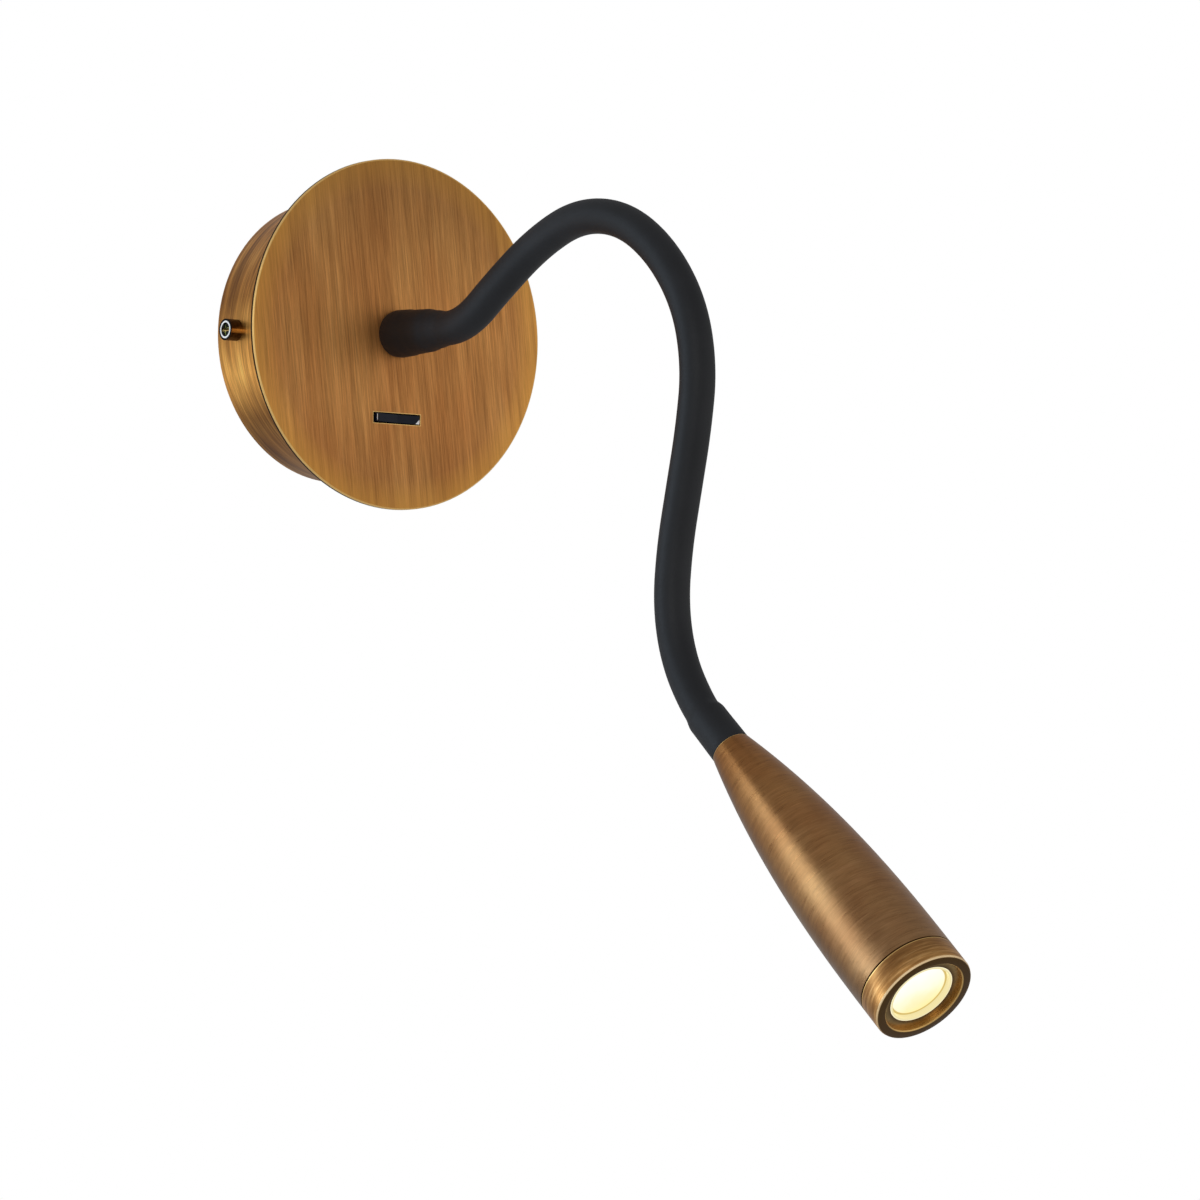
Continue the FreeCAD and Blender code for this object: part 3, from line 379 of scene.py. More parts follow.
def brushed_plate():
    """Antique brass, brushed straight and near upright, golden towards the rim with wear and a painted
    glow, with painted highlights on the rim and round the slot, painted shade by height and painted
    shadow behind the rim.
    """
    finish = Finish("antique_brass_plate", metallic=0.8, Specular_IOR_Level=0.3)
    lean = (0, math.radians(PLATE_LEAN), 0)
    noises = brushed_noises(finish, lambda stretch: finish.place(lean, stretch), PLATE_GRAIN)
    fine, streaks, _ = noises
    colour = brushed_colour(finish, PLATE_BRASS, noises, PLATE_CONTRAST)
    radius = finish.length(finish.place(stretch=(1, 0, 1)))
    # Golden towards the rim: partly wear, partly a painted glow of the lit edge.
    worn_and_glow = finish.all_of(finish.past(radius, *PLATE_WEAR_AND_GLOW), finish.between(streaks, *PLATE_WEAR_AND_GLOW_SHARES))
    colour = finish.blend(worn_and_glow, colour, GOLDEN_WEAR_AND_GLOW)
    _, _, height = finish.axes(finish.place())
    upwards = finish.past(height, -DISC_RADIUS, DISC_RADIUS)
    # Painted shade: darker towards the bottom and much darker towards the top, as the light falls.
    colour = finish.tinted(colour, finish.ramp(upwards, *PLATE_HEIGHT_SHADE))
    # Painted highlight: the rim's edge in bright brass.
    rim = finish.past(radius, *PLATE_RIM_HIGHLIGHT)
    colour = finish.blend(rim, colour, BRASS_HIGHLIGHT)
    across, out, height = finish.axes(finish.place(origin=(0, 0, -SLOT_DROP)))
    # Painted shadow on the back of the rim, where it meets the drum.
    behind = finish.all_of(rim, finish.past(out, *PLATE_BEHIND_SHADOW))
    colour = finish.blend(behind, colour, SEAM_SHADOW)
    # A painted highlight in a thin bright line round the slot's edge.
    beside = finish.math("SUBTRACT", finish.math("ABSOLUTE", across), SLOT_LONG)
    above = finish.math("SUBTRACT", finish.math("ABSOLUTE", height), SLOT_HIGH)
    slot = finish.line(finish.math("MAXIMUM", beside, above), 0, SLOT_HIGHLIGHT_LINE)
    colour = finish.blend(slot, colour, BRASS_HIGHLIGHT)
    return finish.use(colour, finish.between(fine, *PLATE_ROUGHNESS), fine, DEEPER_GRAIN)


DRUM_BRASS = (0.23, 0.105, 0.032), (0.62, 0.32, 0.085), (0.95, 0.55, 0.16)
DRUM_GRAIN = (45, 2000, 45), (16, 340, 16), (40, 60, 40)
DRUM_STREAK_DETAIL, DRUM_CONTRAST, DRUM_ROUGHNESS = 4, 0.34, (0.28, 0.45)
DRUM_HEIGHT_LIGHT_AND_SHADE = ((0.10, (0.62, 0.54, 0.50)), (0.20, (0.66, 0.58, 0.50)), (0.35, (1.36, 1.32, 1.20)),
             (0.50, (1.02, 0.90, 0.80)), (0.62, (0.76, 0.62, 0.54)), (0.80, (1.12, 1.0, 1.0)))
DRUM_JOINT_SHADOW = PLATE_BACK + 0.0008, PLATE_BACK + 0.0002


def brushed_drum():
    """The same plating on the drum: its grain runs round it, with painted light and shade in bands by
    height, and painted shadow at the joint with the plate.
    """
    finish = Finish("antique_brass_drum", metallic=1.0)
    noises = brushed_noises(finish, lambda stretch: finish.place(stretch=stretch), DRUM_GRAIN,
                            streak_detail=DRUM_STREAK_DETAIL)
    fine, _, _ = noises
    colour = brushed_colour(finish, DRUM_BRASS, noises, DRUM_CONTRAST)
    _, out, height = finish.axes(finish.place())
    upwards = finish.past(height, -DRUM_RADIUS, DRUM_RADIUS)
    # Painted light and shade: a bright band below the middle, darker above it and at the bottom.
    colour = finish.tinted(colour, finish.ramp(upwards, *DRUM_HEIGHT_LIGHT_AND_SHADE))
    # Painted shadow on the drum next to the plate.
    colour = finish.blend(finish.past(out, *DRUM_JOINT_SHADOW), colour, SEAM_SHADOW)
    return finish.use(colour, finish.between(fine, *DRUM_ROUGHNESS), fine, DEEPER_GRAIN)


def head_axis():
    return (Vector(NECK_ROUTE[-1]) - Vector(NECK_ROUTE[-2])).normalized()


def on_head(finish, stretch=(1, 1, 1)):
    """Coordinates on the head, with its axis along Z and its narrow end at 0."""
    turn = head_axis().rotation_difference(Vector((0, 0, 1))).to_euler()
    return finish.place(tuple(turn), stretch, NECK_ROUTE[-1])


def along_and_radius(finish):
    _, _, along = finish.axes(on_head(finish))
    return along, finish.length(on_head(finish, (1, 1, 0)))


TURNED_FINE, TURNED_STREAK, TURNED_PATCHES = (150, 150, 2500), 60, (38, 38, 30)
TURNED_PATCH_DETAIL, SEAM_LINE = 3, 0.0003


def turned_noises(finish, pitch):
    """The noises of plating that is brushed round the head's axis, with streaks of a given pitch."""
    frequencies = TURNED_FINE, (TURNED_STREAK, TURNED_STREAK, pitch), TURNED_PATCHES
    return brushed_noises(finish, lambda stretch: on_head(finish, stretch), frequencies,
                          patch_detail=TURNED_PATCH_DETAIL)


HEAD_BRASS = (0.36, 0.178, 0.068), (0.41, 0.208, 0.082), (0.46, 0.240, 0.100)
HEAD_PITCH, HEAD_CONTRAST, HEAD_ROUGHNESS, HEAD_STRENGTH = 700, 0.17, (0.12, 0.54), 0.8
HEAD_HIGHLIGHT_TONE = ((0.0, (0.96, 0.84, 0.66)), (0.30, (1.0, 0.96, 0.90)), (0.55, (1.0, 1.0, 1.0)),
             (0.95, (0.96, 1.04, 1.20)))
# The way to the head's lower side, which is painted in shade, and the painted shade from there to
# where it is plain.
SHADED_SIDE, SHADED_SIDE_RANGE = (-0.6, -0.8), (1.0, 0.5)
SHADED_SIDE_TONE = (0.0, 0.56), (0.15, 0.68), (0.60, 1.0), (1.0, 1.0)
HEAD_EDGE_HIGHLIGHT, HEAD_JOINT_SHADOW = 0.0002, (HEAD_SEAM - 0.0004, HEAD_SEAM - 0.0002)


def head_brass():
    """The head's plating: a tone along it painted so its highlight is warmer at the narrow end and
    greyer at the wide one, painted shade down one side, a painted highlight at the narrow edge and
    painted shadow at its seam.
    """
    finish = Finish("antique_brass_head", metallic=1.0)
    noises = turned_noises(finish, HEAD_PITCH)
    fine, streaks, _ = noises
    colour = brushed_colour(finish, HEAD_BRASS, noises, HEAD_CONTRAST)
    along, radius = along_and_radius(finish)
    lengthways = finish.past(along, 0.0, HEAD_LENGTH)
    # Painted highlight colour: darker and warmer towards the narrow end, bluer towards the wide one.
    colour = finish.tinted(colour, finish.ramp(lengthways, *HEAD_HIGHLIGHT_TONE))
    # Painted shade down the head's lower side.
    across, up, _ = finish.axes(on_head(finish))
    sideways = finish.math("ADD", finish.math("MULTIPLY", across, SHADED_SIDE[0]),
                           finish.math("MULTIPLY", up, SHADED_SIDE[1]))
    lower = finish.past(finish.math("DIVIDE", sideways, radius), *SHADED_SIDE_RANGE)
    colour = finish.tinted(colour, finish.ramp(lower, *SHADED_SIDE_TONE))
    # A painted highlight in a thin line round the narrow end's edge.
    colour = finish.blend(finish.line(along, HEAD_EDGE_HIGHLIGHT, SEAM_LINE), colour, BRASS_HIGHLIGHT)
    # Painted shadow on the shell by the seam with the bezel.
    colour = finish.blend(finish.past(along, *HEAD_JOINT_SHADOW), colour, SEAM_SHADOW)
    return finish.use(colour, finish.between(streaks, *HEAD_ROUGHNESS), fine, DEEPER_GRAIN,
                      HEAD_STRENGTH)


BEZEL_BRASS = (0.28, 0.130, 0.042), (0.40, 0.190, 0.062), (0.70, 0.40, 0.160)
BEZEL_PITCH, BEZEL_CONTRAST, BEZEL_ROUGHNESS = 800, 0.2, (0.26, 0.40)
FRONT_HIGHLIGHT_TINT, FRONT_HIGHLIGHT_ALONG = (1.5, 1.55, 1.5), (HEAD_LENGTH - 0.006, HEAD_LENGTH - 0.001)
FACE_ALONG = HEAD_LENGTH - 0.00035, HEAD_LENGTH - 0.0001
FACE_RADIUS = BEZEL_MOUTH, BEZEL_MOUTH + 0.0002
LIP_RADIUS, LIP_SHARE, BEZEL_START = BEZEL_MOUTH + 0.0001, 0.6, HEAD_SEAM + 0.0003
EDGE_HIGHLIGHT, EDGE_ALONG = (1.0, 0.72, 0.38), (HEAD_LENGTH - 0.0009, HEAD_LENGTH - 0.0006)
EDGE_RADIUS = HEAD_RADIUS - 0.0004, HEAD_RADIUS - 0.0002


def bezel_brass():
    """The bezel: streaked golden outside and dark on its front face, with painted highlights in a band
    before its front edge, on that edge, at the lip and at the seam.
    """
    finish = Finish("bezel_brass", metallic=1.0)
    noises = turned_noises(finish, BEZEL_PITCH)
    fine, _, _ = noises
    colour = brushed_colour(finish, BEZEL_BRASS, noises, BEZEL_CONTRAST)
    along, radius = along_and_radius(finish)
    # A painted highlight: brighter in a band before the front edge.
    front_highlight = finish.past(along, *FRONT_HIGHLIGHT_ALONG)
    colour = finish.blend(front_highlight, colour, finish.tinted(colour, FRONT_HIGHLIGHT_TINT))
    face = finish.all_of(finish.past(along, *FACE_ALONG), finish.past(radius, *FACE_RADIUS))
    colour = finish.blend(face, colour, DARK_PATINA_AND_SHADE)
    # Painted highlights: thin bright lines at the mouth's lip and at the back edge by the seam.
    lip = finish.math("MULTIPLY", finish.line(radius, LIP_RADIUS, SEAM_LINE), LIP_SHARE)
    seam = finish.line(along, BEZEL_START, SEAM_LINE)
    for mask in (lip, seam):
        colour = finish.blend(mask, colour, BRASS_HIGHLIGHT)
    # A painted highlight on the front edge, on the side the light comes from, without the metal's
    # mirror.
    across, up, _ = finish.axes(on_head(finish))
    lit_side = finish.past(finish.math("SUBTRACT", up, across), -HEAD_RADIUS, HEAD_RADIUS)
    edge = finish.all_of(finish.past(along, *EDGE_ALONG), finish.past(radius, *EDGE_RADIUS), lit_side)
    colour = finish.blend(edge, colour, EDGE_HIGHLIGHT)
    finish.dull(edge)
    return finish.use(colour, finish.between(fine, *BEZEL_ROUGHNESS), fine)


RING_BRASS = (0.20, 0.125, 0.048), (0.32, 0.205, 0.082), (0.48, 0.32, 0.14)
RING_PITCH, RING_CONTRAST, RING_ROUGHNESS = 900, 0.2, (0.30, 0.42)
RING_SHADE, RING_SHADE_SHARE = (RING_MOUTH + 0.0014, RING_MOUTH + 0.0002), 0.8


def ring_brass():
    """The ring round the lens: golden, and darker in painted shade towards its mouth."""
    finish = Finish("lens_ring_brass", metallic=1.0)
    noises = turned_noises(finish, RING_PITCH)
    fine, _, _ = noises
    colour = brushed_colour(finish, RING_BRASS, noises, RING_CONTRAST)
    _, radius = along_and_radius(finish)
    # Painted shade towards the ring's mouth, next to the lens.
    near = finish.math("MULTIPLY", finish.past(radius, *RING_SHADE), RING_SHADE_SHARE)
    colour = finish.blend(near, colour, DARK_PATINA_AND_SHADE)
    return finish.use(colour, finish.between(fine, *RING_ROUGHNESS), fine)


# ---- Screws, switch, sleeve and lens ---------------------------------------------------------

METAL_MOTTLE, MOTTLE_DETAIL, MOTTLE_STOPS = 900.0, 3, (0.3, 0.65)
CLOUD_STOPS = 0.3, 0.7

SCREW_BRASS, SCREW_ROUGHNESS = ((0.050, 0.028, 0.012), (0.11, 0.066, 0.030)), (0.18, 0.30)
BAND_HIGHLIGHT, BAND_HEIGHT, BAND_WIDTH = (0.62, 0.46, 0.24), -0.0006, 0.0008
END_COLOUR, END_FAR = (0.008, 0.008, 0.007), (SCREW_FACE - 0.0002, SCREW_FACE - 0.0001)
CROSS_GLINT, CROSS_FAR = (0.75, 0.80, 0.60), (SCREW_FACE - 0.0002, SCREW_FACE - 0.0005)
CROSS_RADIUS = SCREW_RADIUS - 0.0015, SCREW_RADIUS - 0.0018
CIRCLE_HIGHLIGHT, CIRCLE_RADIUS, CIRCLE_WIDTH = (1.0, 1.0, 0.97), SCREW_RADIUS - 0.0010, 0.0004


def side_screw_metal():
    """The side screws: dark brass with a painted highlight band, and a dark end face with a painted
    highlight ring and painted glints on the cross.
    """
    finish = Finish("side_screw", metallic=1.0)
    origin = (0, -SCREW_OUT, 0)
    across, _, height = finish.axes(finish.place(origin=origin))
    radius = finish.length(finish.place(stretch=(0, 1, 1), origin=origin))
    far = finish.math("ABSOLUTE", across)
    mottle = finish.noise(finish.place(), METAL_MOTTLE, MOTTLE_DETAIL)
    colour = finish.ramp(mottle, *zip(MOTTLE_STOPS, SCREW_BRASS))
    # A painted highlight in a band along the screw.
    colour = finish.blend(finish.line(height, BAND_HEIGHT, BAND_WIDTH), colour, BAND_HIGHLIGHT)
    end = finish.past(far, *END_FAR)
    colour = finish.blend(end, colour, END_COLOUR)
    # Painted glints on the walls of the cross recess.
    cross = finish.all_of(finish.past(far, *CROSS_FAR), finish.past(radius, *CROSS_RADIUS))
    colour = finish.blend(cross, colour, CROSS_GLINT)
    # A painted highlight: a white ring on the end face, without the metal's mirror.
    bright = finish.all_of(finish.line(radius, CIRCLE_RADIUS, CIRCLE_WIDTH), end)
    colour = finish.blend(bright, colour, CIRCLE_HIGHLIGHT)
    finish.dull(bright)
    return finish.use(colour, finish.between(mottle, *SCREW_ROUGHNESS), mottle)


ROCKER_BLACK = (0.0042, 0.0058, 0.0125), (0.0070, 0.0090, 0.0180)
ROCKER_ROUGHNESS, ROCKER_SPECULAR, ROCKER_CLOUD = 0.14, 0.14, 300.0
ROCKER_GLINT, ROCKER_DEPTH, ROCKER_STRENGTH = (0.95, 0.95, 0.95), 0.00001, 0.2
GLINT_DEPTH, GLINT_WIDTH, GLINT_HEIGHT = -0.0380, 0.0003, 0.0002
GLINT_ACROSS = 0.0009 - ROCKER_LONG, 0.0008 - ROCKER_LONG
ROCKER_CORNER = ROCKER_LONG + ROCKER_HIGH
CORNER_GLINT_ACROSS = ROCKER_CORNER - 0.0012, ROCKER_CORNER - 0.0010


def rocker_gloss():
    """Blue-black gloss, with a painted glint on one end and another in the lower corner at the other.
    """
    finish = Finish("rocker_gloss", Roughness=ROCKER_ROUGHNESS, Specular_IOR_Level=ROCKER_SPECULAR)
    cloud = finish.noise(finish.place(), ROCKER_CLOUD)
    colour = finish.ramp(cloud, *zip(CLOUD_STOPS, ROCKER_BLACK))
    across, out, height = finish.axes(finish.place(origin=(0, 0, -SLOT_DROP)))
    # A painted glint: a thin white line on the rocker's end wall.
    end_glint = finish.all_of(finish.line(out, GLINT_DEPTH, GLINT_WIDTH),
                         finish.line(height, GLINT_HEIGHT, ROCKER_HIGH),
                         finish.past(across, *GLINT_ACROSS))
    # A painted glint in the lower corner at the other end.
    corner_glint = finish.past(finish.math("SUBTRACT", across, height), *CORNER_GLINT_ACROSS)
    colour = finish.blend(finish.math("MAXIMUM", end_glint, corner_glint), colour, ROCKER_GLINT)
    return finish.use(colour, height=cloud, depth=ROCKER_DEPTH, strength=ROCKER_STRENGTH)


SILICONE_BLACK, SILICONE_SPECULAR = ((0.0095, 0.0103, 0.0118), (0.0140, 0.0150, 0.0172)), 0.30
SILICONE_GRAIN, SILICONE_ROUGHNESS, SILICONE_STRENGTH = 2600.0, (0.50, 0.62), 0.35
BLOOM_SCALE, BLOOM_DETAIL, BLOOM_STOPS = 55.0, 4, (0.3, 0.72)


def silicone():
    """Matt silicone: a very fine grain, with a faint bloom of dust."""
    finish = Finish("matt_silicone", Specular_IOR_Level=SILICONE_SPECULAR)
    grain = finish.noise(finish.place(), SILICONE_GRAIN)
    bloom = finish.noise(finish.place(), BLOOM_SCALE, BLOOM_DETAIL)
    tint = finish.ramp(bloom, *zip(BLOOM_STOPS, SILICONE_BLACK))
    return finish.use(tint, finish.between(grain, *SILICONE_ROUGHNESS), grain,
                      strength=SILICONE_STRENGTH)


# The lens's light from one side to the other, and on the line, the wall and the lip of its rim.
LENS_LIGHT = ((0.20, (1.0, 0.99, 0.92)), (0.50, (1.0, 0.95, 0.76)), (0.72, (1.0, 0.88, 0.54)),
              (0.95, (0.94, 0.80, 0.36)))
LINE_LIGHT, WALL_LIGHT, LIP_LIGHT = (0.56, 0.40, 0.095), (0.80, 0.70, 0.36), (1.0, 0.92, 0.62)
LENS_BASE, LENS_ROUGHNESS, LENS_STRENGTH = (0.10, 0.09, 0.07), 0.18, 1.0
LENS_CLOUD, LENS_CLOUD_SHARE, LENS_CLOUD_DETAIL = (120, 120, 0), 0.18, 3
LENS_DEPTH, LENS_BUMP = 0.0001, 0.2
DISH_RADIUS = LENS_RADIUS - LENS_RIM
DISH_SIDE, DISH_LINE, DISH_LINE_WIDTH = 1.4 * DISH_RADIUS, DISH_RADIUS - 0.0003, 0.0006
DISH_WALL = DISH_RADIUS - 0.00005, DISH_RADIUS
LENS_LIP = LENS_RADIUS - 0.0003, LENS_RADIUS - 0.0001


def lens_glow():
    """The lit lens: near white in its dish, cream towards one side, with a pale raised rim."""
    finish = Finish("lit_lens", Base_Color=(*LENS_BASE, 1), Roughness=LENS_ROUGHNESS,
                    Emission_Strength=LENS_STRENGTH)
    _, radius = along_and_radius(finish)
    cloud = finish.noise(on_head(finish, LENS_CLOUD), detail=LENS_CLOUD_DETAIL)
    across, up, _ = finish.axes(on_head(finish))
    side = finish.past(finish.math("SUBTRACT", across, up), -DISH_SIDE, DISH_SIDE)
    side = finish.math("ADD", side, finish.between(cloud, -LENS_CLOUD_SHARE, LENS_CLOUD_SHARE))
    glow = finish.ramp(side, *LENS_LIGHT)
    glow = finish.blend(finish.line(radius, DISH_LINE, DISH_LINE_WIDTH), glow, LINE_LIGHT)
    glow = finish.blend(finish.past(radius, *DISH_WALL), glow, WALL_LIGHT)
    glow = finish.blend(finish.past(radius, *LENS_LIP), glow, LIP_LIGHT)
    finish.links.new(glow, finish.shader.inputs["Emission Color"])
    return finish.use(height=cloud, depth=LENS_DEPTH, strength=LENS_BUMP)


# ---- Materials inside the lamp ---------------------------------------------------------------

# The darkest tone of a plain metal or plastic, and the range of its roughness, as shares.
METAL_DARK, METAL_ROUGHNESS = 0.72, (0.8, 1.25)
PLASTIC_DARK, PLASTIC_ROUGHNESS = 0.8, (0.88, 1.1)
PLASTIC_GRAIN, PLASTIC_CLOUD, PLASTIC_CLOUD_DETAIL, PLASTIC_STRENGTH = 1500.0, 60.0, 3, 0.4


def shares(value, parts):
    return [value * part for part in parts]


def plain_metal(name, colour, roughness):
    """Plated or machined metal with a fine mottle."""
    finish = Finish(name, metallic=1.0)
    mottle = finish.noise(finish.place(), METAL_MOTTLE, MOTTLE_DETAIL)
    dark = tuple(channel * METAL_DARK for channel in colour)
    tint = finish.ramp(mottle, *zip(MOTTLE_STOPS, (dark, colour)))
    return finish.use(tint, finish.between(mottle, *shares(roughness, METAL_ROUGHNESS)), mottle)


def moulded(name, colour, roughness):
    """Moulded plastic with a fine grain."""
    finish = Finish(name)
    grain = finish.noise(finish.place(), PLASTIC_GRAIN)
    cloud = finish.noise(finish.place(), PLASTIC_CLOUD, PLASTIC_CLOUD_DETAIL)
    dark = tuple(channel * PLASTIC_DARK for channel in colour)
    tint = finish.ramp(cloud, *zip(CLOUD_STOPS, (dark, colour)))
    return finish.use(tint, finish.between(grain, *shares(roughness, PLASTIC_ROUGHNESS)), grain,
                      strength=PLASTIC_STRENGTH)


WIRE_GREEN, WIRE_YELLOW, WIRE_STOPS = (0.05, 0.24, 0.05), (0.75, 0.65, 0.06), (0.48, 0.52)
WIRE_STRIPES, WIRE_ROUGHNESS, WIRE_STRENGTH = (700, 700, 60), 0.45, 0.2


def striped_wire():
    """Green insulation with a yellow stripe."""
    finish = Finish("earth_insulation", Roughness=WIRE_ROUGHNESS)
    stripe = finish.noise(finish.place(stretch=WIRE_STRIPES), detail=1)
    tint = finish.ramp(stripe, *zip(WIRE_STOPS, (WIRE_GREEN, WIRE_YELLOW)))
    return finish.use(tint, height=stripe, strength=WIRE_STRENGTH)


TRACK_GREEN, BOARD_GREEN, TRACK_STOPS = (0.10, 0.30, 0.12), (0.02, 0.12, 0.045), (0.05, 0.09)
TRACK_CELLS, TRACK_DEPTH, BOARD_ROUGHNESS = (260, 260, 260), 0.00005, 0.35


def circuit_board():
    """Green board with copper tracks under the lacquer."""
    finish = Finish("circuit_board", Roughness=BOARD_ROUGHNESS)
    tracks = finish.node("ShaderNodeTexVoronoi", Vector=finish.place(stretch=TRACK_CELLS))
    tracks.feature = "DISTANCE_TO_EDGE"
    distance = tracks.outputs["Distance"]
    tint = finish.ramp(distance, *zip(TRACK_STOPS, (TRACK_GREEN, BOARD_GREEN)))
    return finish.use(tint, height=distance, depth=TRACK_DEPTH)


SPIRAL_DARK, SPIRAL_LIGHT, SPIRAL_STOPS = (0.20, 0.20, 0.21), (0.58, 0.58, 0.60), (0.35, 0.6)
SPIRAL_RIDGES, SPIRAL_ROUGHNESS, SPIRAL_DEPTH, SPIRAL_STRENGTH = (30, 420, 420), 0.35, 0.0003, 0.6


def spiral_steel():
    """Wound steel strip: the turns show as close ridges across the tube."""
    finish = Finish("spiral_steel", metallic=1.0, Roughness=SPIRAL_ROUGHNESS)
    wave = finish.noise(finish.place(stretch=SPIRAL_RIDGES), detail=1)
    tint = finish.ramp(wave, *zip(SPIRAL_STOPS, (SPIRAL_DARK, SPIRAL_LIGHT)))
    return finish.use(tint, height=wave, depth=SPIRAL_DEPTH, strength=SPIRAL_STRENGTH)


PHOSPHOR = (0.90, 0.62, 0.10), (1.0, 0.80, 0.25)
PHOSPHOR_GRAIN, PHOSPHOR_ROUGHNESS, PHOSPHOR_STRENGTH = 1800.0, 0.6, 4.0


def phosphor():
    """The lit chip behind the lens."""
    finish = Finish("led_phosphor", Roughness=PHOSPHOR_ROUGHNESS, Emission_Strength=PHOSPHOR_STRENGTH)
    grain = finish.noise(finish.place(), PHOSPHOR_GRAIN)
    tint = finish.ramp(grain, *zip(CLOUD_STOPS, PHOSPHOR))
    finish.links.new(tint, finish.shader.inputs["Emission Color"])
    return finish.use(tint)


def make_finishes():
    """The finish of each material slot in the record."""
    return {
        "antique_brass_plate": brushed_plate(),
        "antique_brass_head": head_brass(),
        "zinc_steel": plain_metal("zinc_steel", (0.62, 0.63, 0.64), 0.35),
        "chrome": side_screw_metal(),
        "black_plastic": moulded("black_plastic", (0.02, 0.02, 0.022), 0.5),
        "black_gloss": rocker_gloss(),
        "white_plastic": moulded("white_plastic", (0.80, 0.80, 0.77), 0.5),
        "circuit_board": circuit_board(),
        "transformer_tape": moulded("transformer_tape", (0.75, 0.55, 0.08), 0.3),
        "capacitor_can": moulded("capacitor_can", (0.03, 0.03, 0.06), 0.35),
        "contact_brass": plain_metal("contact_brass", (0.70, 0.48, 0.18), 0.3),
        "brown_wire": moulded("brown_insulation", (0.16, 0.06, 0.02), 0.45),
        "blue_wire": moulded("blue_insulation", (0.03, 0.10, 0.42), 0.45),
        "earth_wire": striped_wire(),
        "lead_sheath": moulded("lead_sheath", (0.03, 0.03, 0.03), 0.6),
        "silicone": silicone(),
        "spiral_steel": spiral_steel(),
        "bare_aluminium": plain_metal("bare_aluminium", (0.70, 0.71, 0.72), 0.4),
        "led_phosphor": phosphor(),
        "clear_lens": lens_glow(),
    }


# ---- Mesh helpers ----------------------------------------------------------------------------

def finished(name, builder, material, sharp):
    """An object from a bmesh, shaded smooth up to the angle where its edges are sharp."""
    bmesh.ops.recalc_face_normals(builder, faces=builder.faces)
    mesh = bpy.data.meshes.new(name)
    builder.to_mesh(mesh)
    builder.free()
    mesh.shade_smooth()
    mesh.set_sharp_from_angle(angle=math.radians(sharp))
    mesh.materials.append(material)
    item = bpy.data.objects.new(name, mesh)
    bpy.context.scene.collection.objects.link(item)
    return item


def turns(count):
    """The angles of points that are evenly round a circle."""
    return [math.tau * i / count for i in range(count)]


def bridge(builder, rings):
    for lower, upper in zip(rings, rings[1:]):
        count = len(lower)
        for i in range(count):
            j = (i + 1) % count
            builder.faces.new((lower[i], lower[j], upper[j], upper[i]))


# ---- Neck ------------------------------------------------------------------------------------

def route_points():
    """The points that Blender gives along the neck's route."""
    data = bpy.data.curves.new("neck_route", "CURVE")
    data.dimensions = "3D"
    spline = data.splines.new("NURBS")
    spline.points.add(len(NECK_ROUTE) - 1)
    for point, place in zip(spline.points, NECK_ROUTE):
        point.co = (*place, 1)
    spline.order_u = ROUTE_ORDER
    spline.use_endpoint_u = True
    spline.resolution_u = ROUTE_RESOLUTION
    route = bpy.data.objects.new("neck_route", data)
    bpy.context.scene.collection.objects.link(route)
    bpy.context.view_layer.update()
    mesh = bpy.data.meshes.new_from_object(route)
    points = [vertex.co.copy() for vertex in mesh.vertices]
    bpy.data.objects.remove(route)
    bpy.data.meshes.remove(mesh)
    return points


def flared(stations, distance):
    """The radius at a distance from the end, eased from station to station."""
    for (near, near_radius), (far, far_radius) in zip(stations, stations[1:]):
        if distance <= far:
            share = (distance - near) / (far - near)
            return near_radius + (far_radius - near_radius) * share * share * (3 - 2 * share)
    return SLEEVE_RADIUS


def sleeve_size(from_plate, from_head):
    """The sleeve's radius and bore at a place on its route."""
    radius = max(flared(WALL_FLARE, from_plate), flared(HEAD_FLARE, from_head))
    return radius, FITTING_BORE if min(from_plate, from_head) < FITTING_LENGTH else SLEEVE_BORE


def tube_size(from_plate, from_head):
    """The spiral tube's radius and bore, the same at every place."""
    return TUBE_RADIUS, TUBE_BORE


def neck_rings(points, size_at):
    """The centre, direction, radius and bore of a layer of the neck at each point of its route."""
    distances = [0.0]
    for before, after in zip(points, points[1:]):
        distances.append(distances[-1] + (after - before).length)
    rings = []
    for i, point in enumerate(points):
        before, after = points[max(i - 1, 0)], points[min(i + 1, len(points) - 1)]
        sizes = size_at(distances[i], distances[-1] - distances[i])
        rings.append((point, (after - before).normalized(), *sizes))
    return rings


def hose_piece(name, rings, material):
    """A length of hose, from its rings."""
    builder = bmesh.new()
    outside, inside = [], []
    for centre, direction, radius, bore in rings:
        side = Vector((1, 0, 0))
        side = (side - direction * side.dot(direction)).normalized()
        rise = direction.cross(side)
        for made, size in ((outside, radius), (inside, bore)):
            points = [centre + side * size * math.cos(turn) + rise * size * math.sin(turn)
                      for turn in turns(HOSE_SIDES)]
            made.append([builder.verts.new(point) for point in points])
    bridge(builder, [*outside, *reversed(inside), outside[0]])
    return finished(name, builder, material, HOSE_SHARP)


def add_layer(node, material, rings, socket):
    """A layer of the neck: one hose in pieces along its route, in place of the model's rigid links."""
    first, last = rings[0][0], rings[-1][0]
    near = [ring for ring in rings[:POINTS_PER_RUN + 1] if (ring[0] - first).length >= socket]
    far = [ring for ring in rings[-POINTS_PER_RUN - 1:] if (ring[0] - last).length >= socket]
    ends = ("wall", "base", 1, near), ("head", "head", len(NECK_BODIES), far)
    for name, body, link, part in ends:
        piece = hose_piece(f"{node}_at_{name}", part, material)
        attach(piece, body)
        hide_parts(f"{node}_{link}")
    for bend, reach in enumerate(BEND_REACH, 1):
        middle = 2 * bend * POINTS_PER_RUN
        part = rings[middle - POINTS_PER_RUN:middle + POINTS_PER_RUN + 1]
        piece = hose_piece(f"{node}_bend_{bend}", part, material)
        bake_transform(piece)
        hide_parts(f"{node}_{bend}", f"{node}_{bend + 1}")


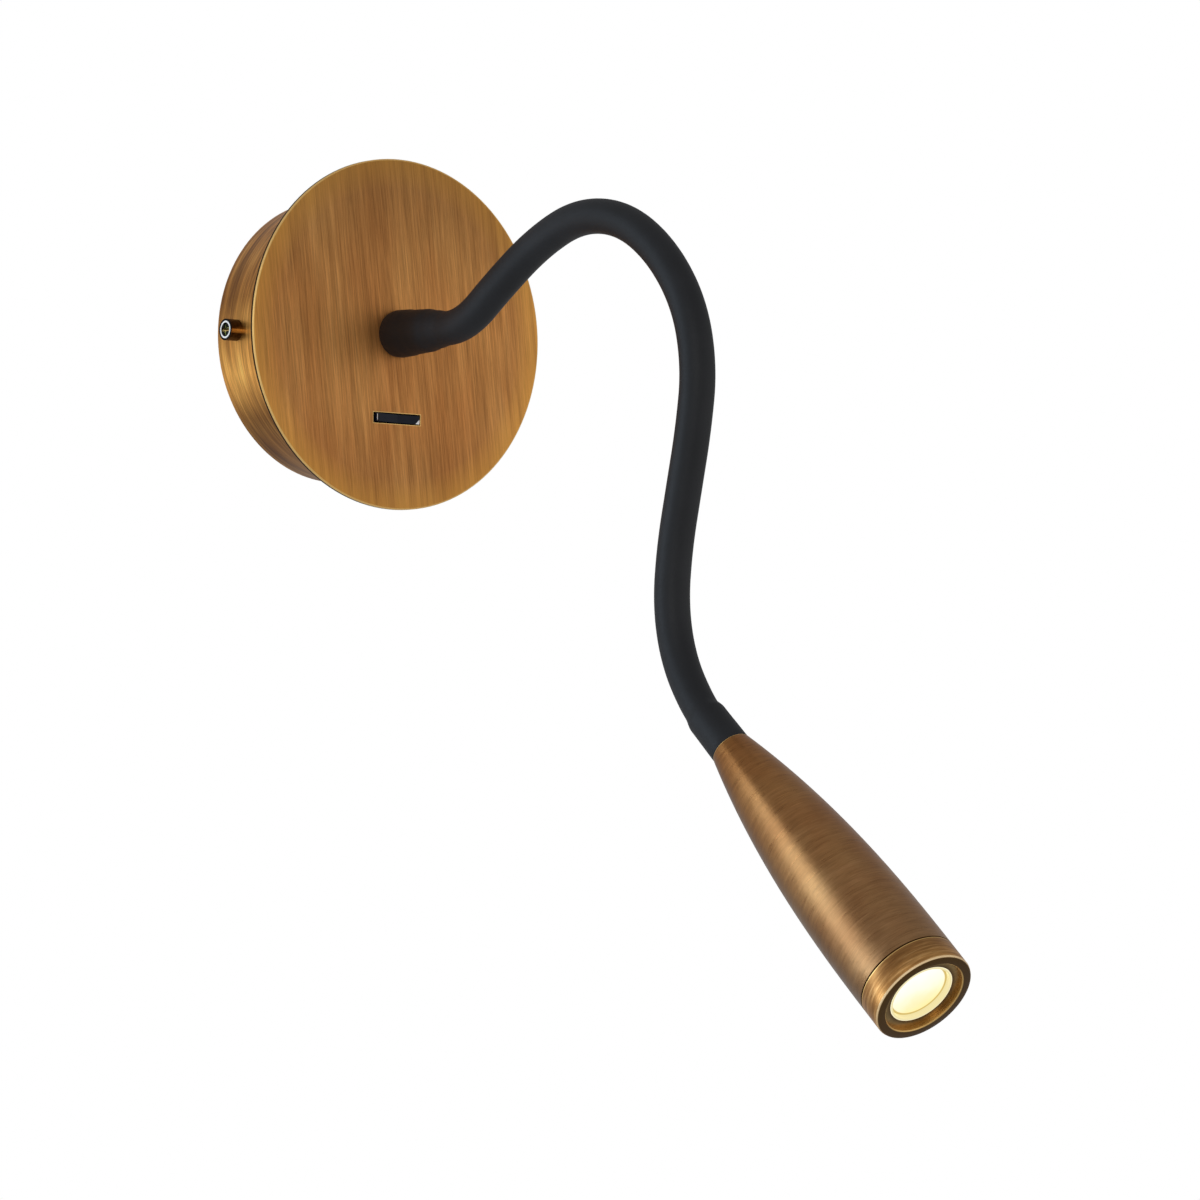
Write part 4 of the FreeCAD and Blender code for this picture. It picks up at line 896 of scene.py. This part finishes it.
def add_neck(finishes):
    points = route_points()
    for node, slot, size_at, socket in (("sleeve", "silicone", sleeve_size, 0.0),
                                        ("spiral_tube", "spiral_steel", tube_size, TUBE_SOCKET)):
        add_layer(node, finishes[slot], neck_rings(points, size_at), socket)


# ---- Head ------------------------------------------------------------------------------------

def head_place():
    """The head's frame: its origin at the narrow end and its axis along Z."""
    turn = Vector((0, 0, 1)).rotation_difference(head_axis()).to_matrix().to_4x4()
    return Matrix.Translation(Vector(NECK_ROUTE[-1])) @ turn


def head_radius_at(along):
    left = max(0.0, 1 - along / HEAD_SEAM)
    return HEAD_RADIUS - (HEAD_RADIUS - HEAD_NECK_RADIUS) * left ** HEAD_CURVE_POWER


def lathe(name, profile, material):
    """A closed profile of radius and distance along the head, turned about the head's axis."""
    builder = bmesh.new()
    place = head_place()
    rings = []
    for radius, along in profile:
        points = [Vector((radius * math.cos(turn), radius * math.sin(turn), along))
                  for turn in turns(LATHE_SIDES)]
        rings.append([builder.verts.new(place @ point) for point in points])
    bridge(builder, rings + [rings[0]])
    return finished(name, builder, material, LATHE_SHARP)


def add_head(shell_finish, bezel_finish):
    """The head's shell and bezel, with a finer curve and finely rounded edges."""
    stations = [HEAD_SEAM * step / HEAD_STEPS for step in range(HEAD_STEPS + 1)]
    outside = [(head_radius_at(along), along) for along in stations[1:-2]]
    inside = [(head_radius_at(along) - HEAD_WALL, along) for along in stations if along < SEAT_START]
    shell = [(NARROW_BORE, 0.0), (HEAD_NECK_RADIUS - FINE_EDGE, 0.0),
             (head_radius_at(FINE_EDGE), FINE_EDGE), *outside, (HEAD_RADIUS, HEAD_SEAM - FINE_EDGE),
             (HEAD_RADIUS - FINE_EDGE, HEAD_SEAM - SEAM_GAP), (HEAD_BORE, HEAD_SEAM - SEAM_GAP),
             (HEAD_BORE, SEAT_END), (SEAT_BORE, SEAT_END), (SEAT_BORE, SEAT_START),
             *reversed(inside[2:]), (CAVITY_RADIUS, NARROW_WALL), (NARROW_BORE, NARROW_WALL)]
    body = lathe("head_body", shell, shell_finish)
    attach(body, "head")
    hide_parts("head_shell")

    lip, back = HEAD_LENGTH - BEZEL_LIP, HEAD_SEAM - SPIGOT_LENGTH
    ring = [(HEAD_RADIUS - FINE_EDGE, HEAD_SEAM), (HEAD_RADIUS, HEAD_SEAM + FINE_EDGE),
            (HEAD_RADIUS, HEAD_LENGTH - FRONT_EDGE),
            (HEAD_RADIUS - FRONT_EDGE * ROUND_SHARE, HEAD_LENGTH - FRONT_EDGE * ROUND_SHARE),
            (HEAD_RADIUS - FRONT_EDGE, HEAD_LENGTH), (BEZEL_MOUTH + FINE_EDGE, HEAD_LENGTH),
            (BEZEL_MOUTH, HEAD_LENGTH - FINE_EDGE), (BEZEL_MOUTH, lip), (BEZEL_BORE, lip),
            (BEZEL_BORE, back), (SPIGOT_RADIUS, back), (SPIGOT_RADIUS, HEAD_SEAM)]
    front = lathe("front_ring", ring, bezel_finish)
    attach(front, "head")
    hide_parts("bezel")


# ---- Scene -----------------------------------------------------------------------------------

bpy.context.scene.view_settings.view_transform = "Standard"
add_camera()
add_world()
for name, softbox in SOFTBOXES.items():
    add_softbox(name, *softbox)
add_floor()

finishes = make_finishes()
node_finishes = {"canopy": brushed_drum(), "lens_ring": ring_brass()}
slot_of = {part["node"]: part["material_slot"] for part in frame["record"]["subparts"]}
for node, item in frame["nodes"].items():
    finish = node_finishes.get(node, finishes[slot_of[node]])
    item.data.materials.clear()
    item.data.materials.append(finish)
    item.data.shade_smooth()
    item.data.set_sharp_from_angle(angle=math.radians(CAD_SHARP))

add_neck(finishes)
add_head(finishes["antique_brass_head"], bezel_brass())
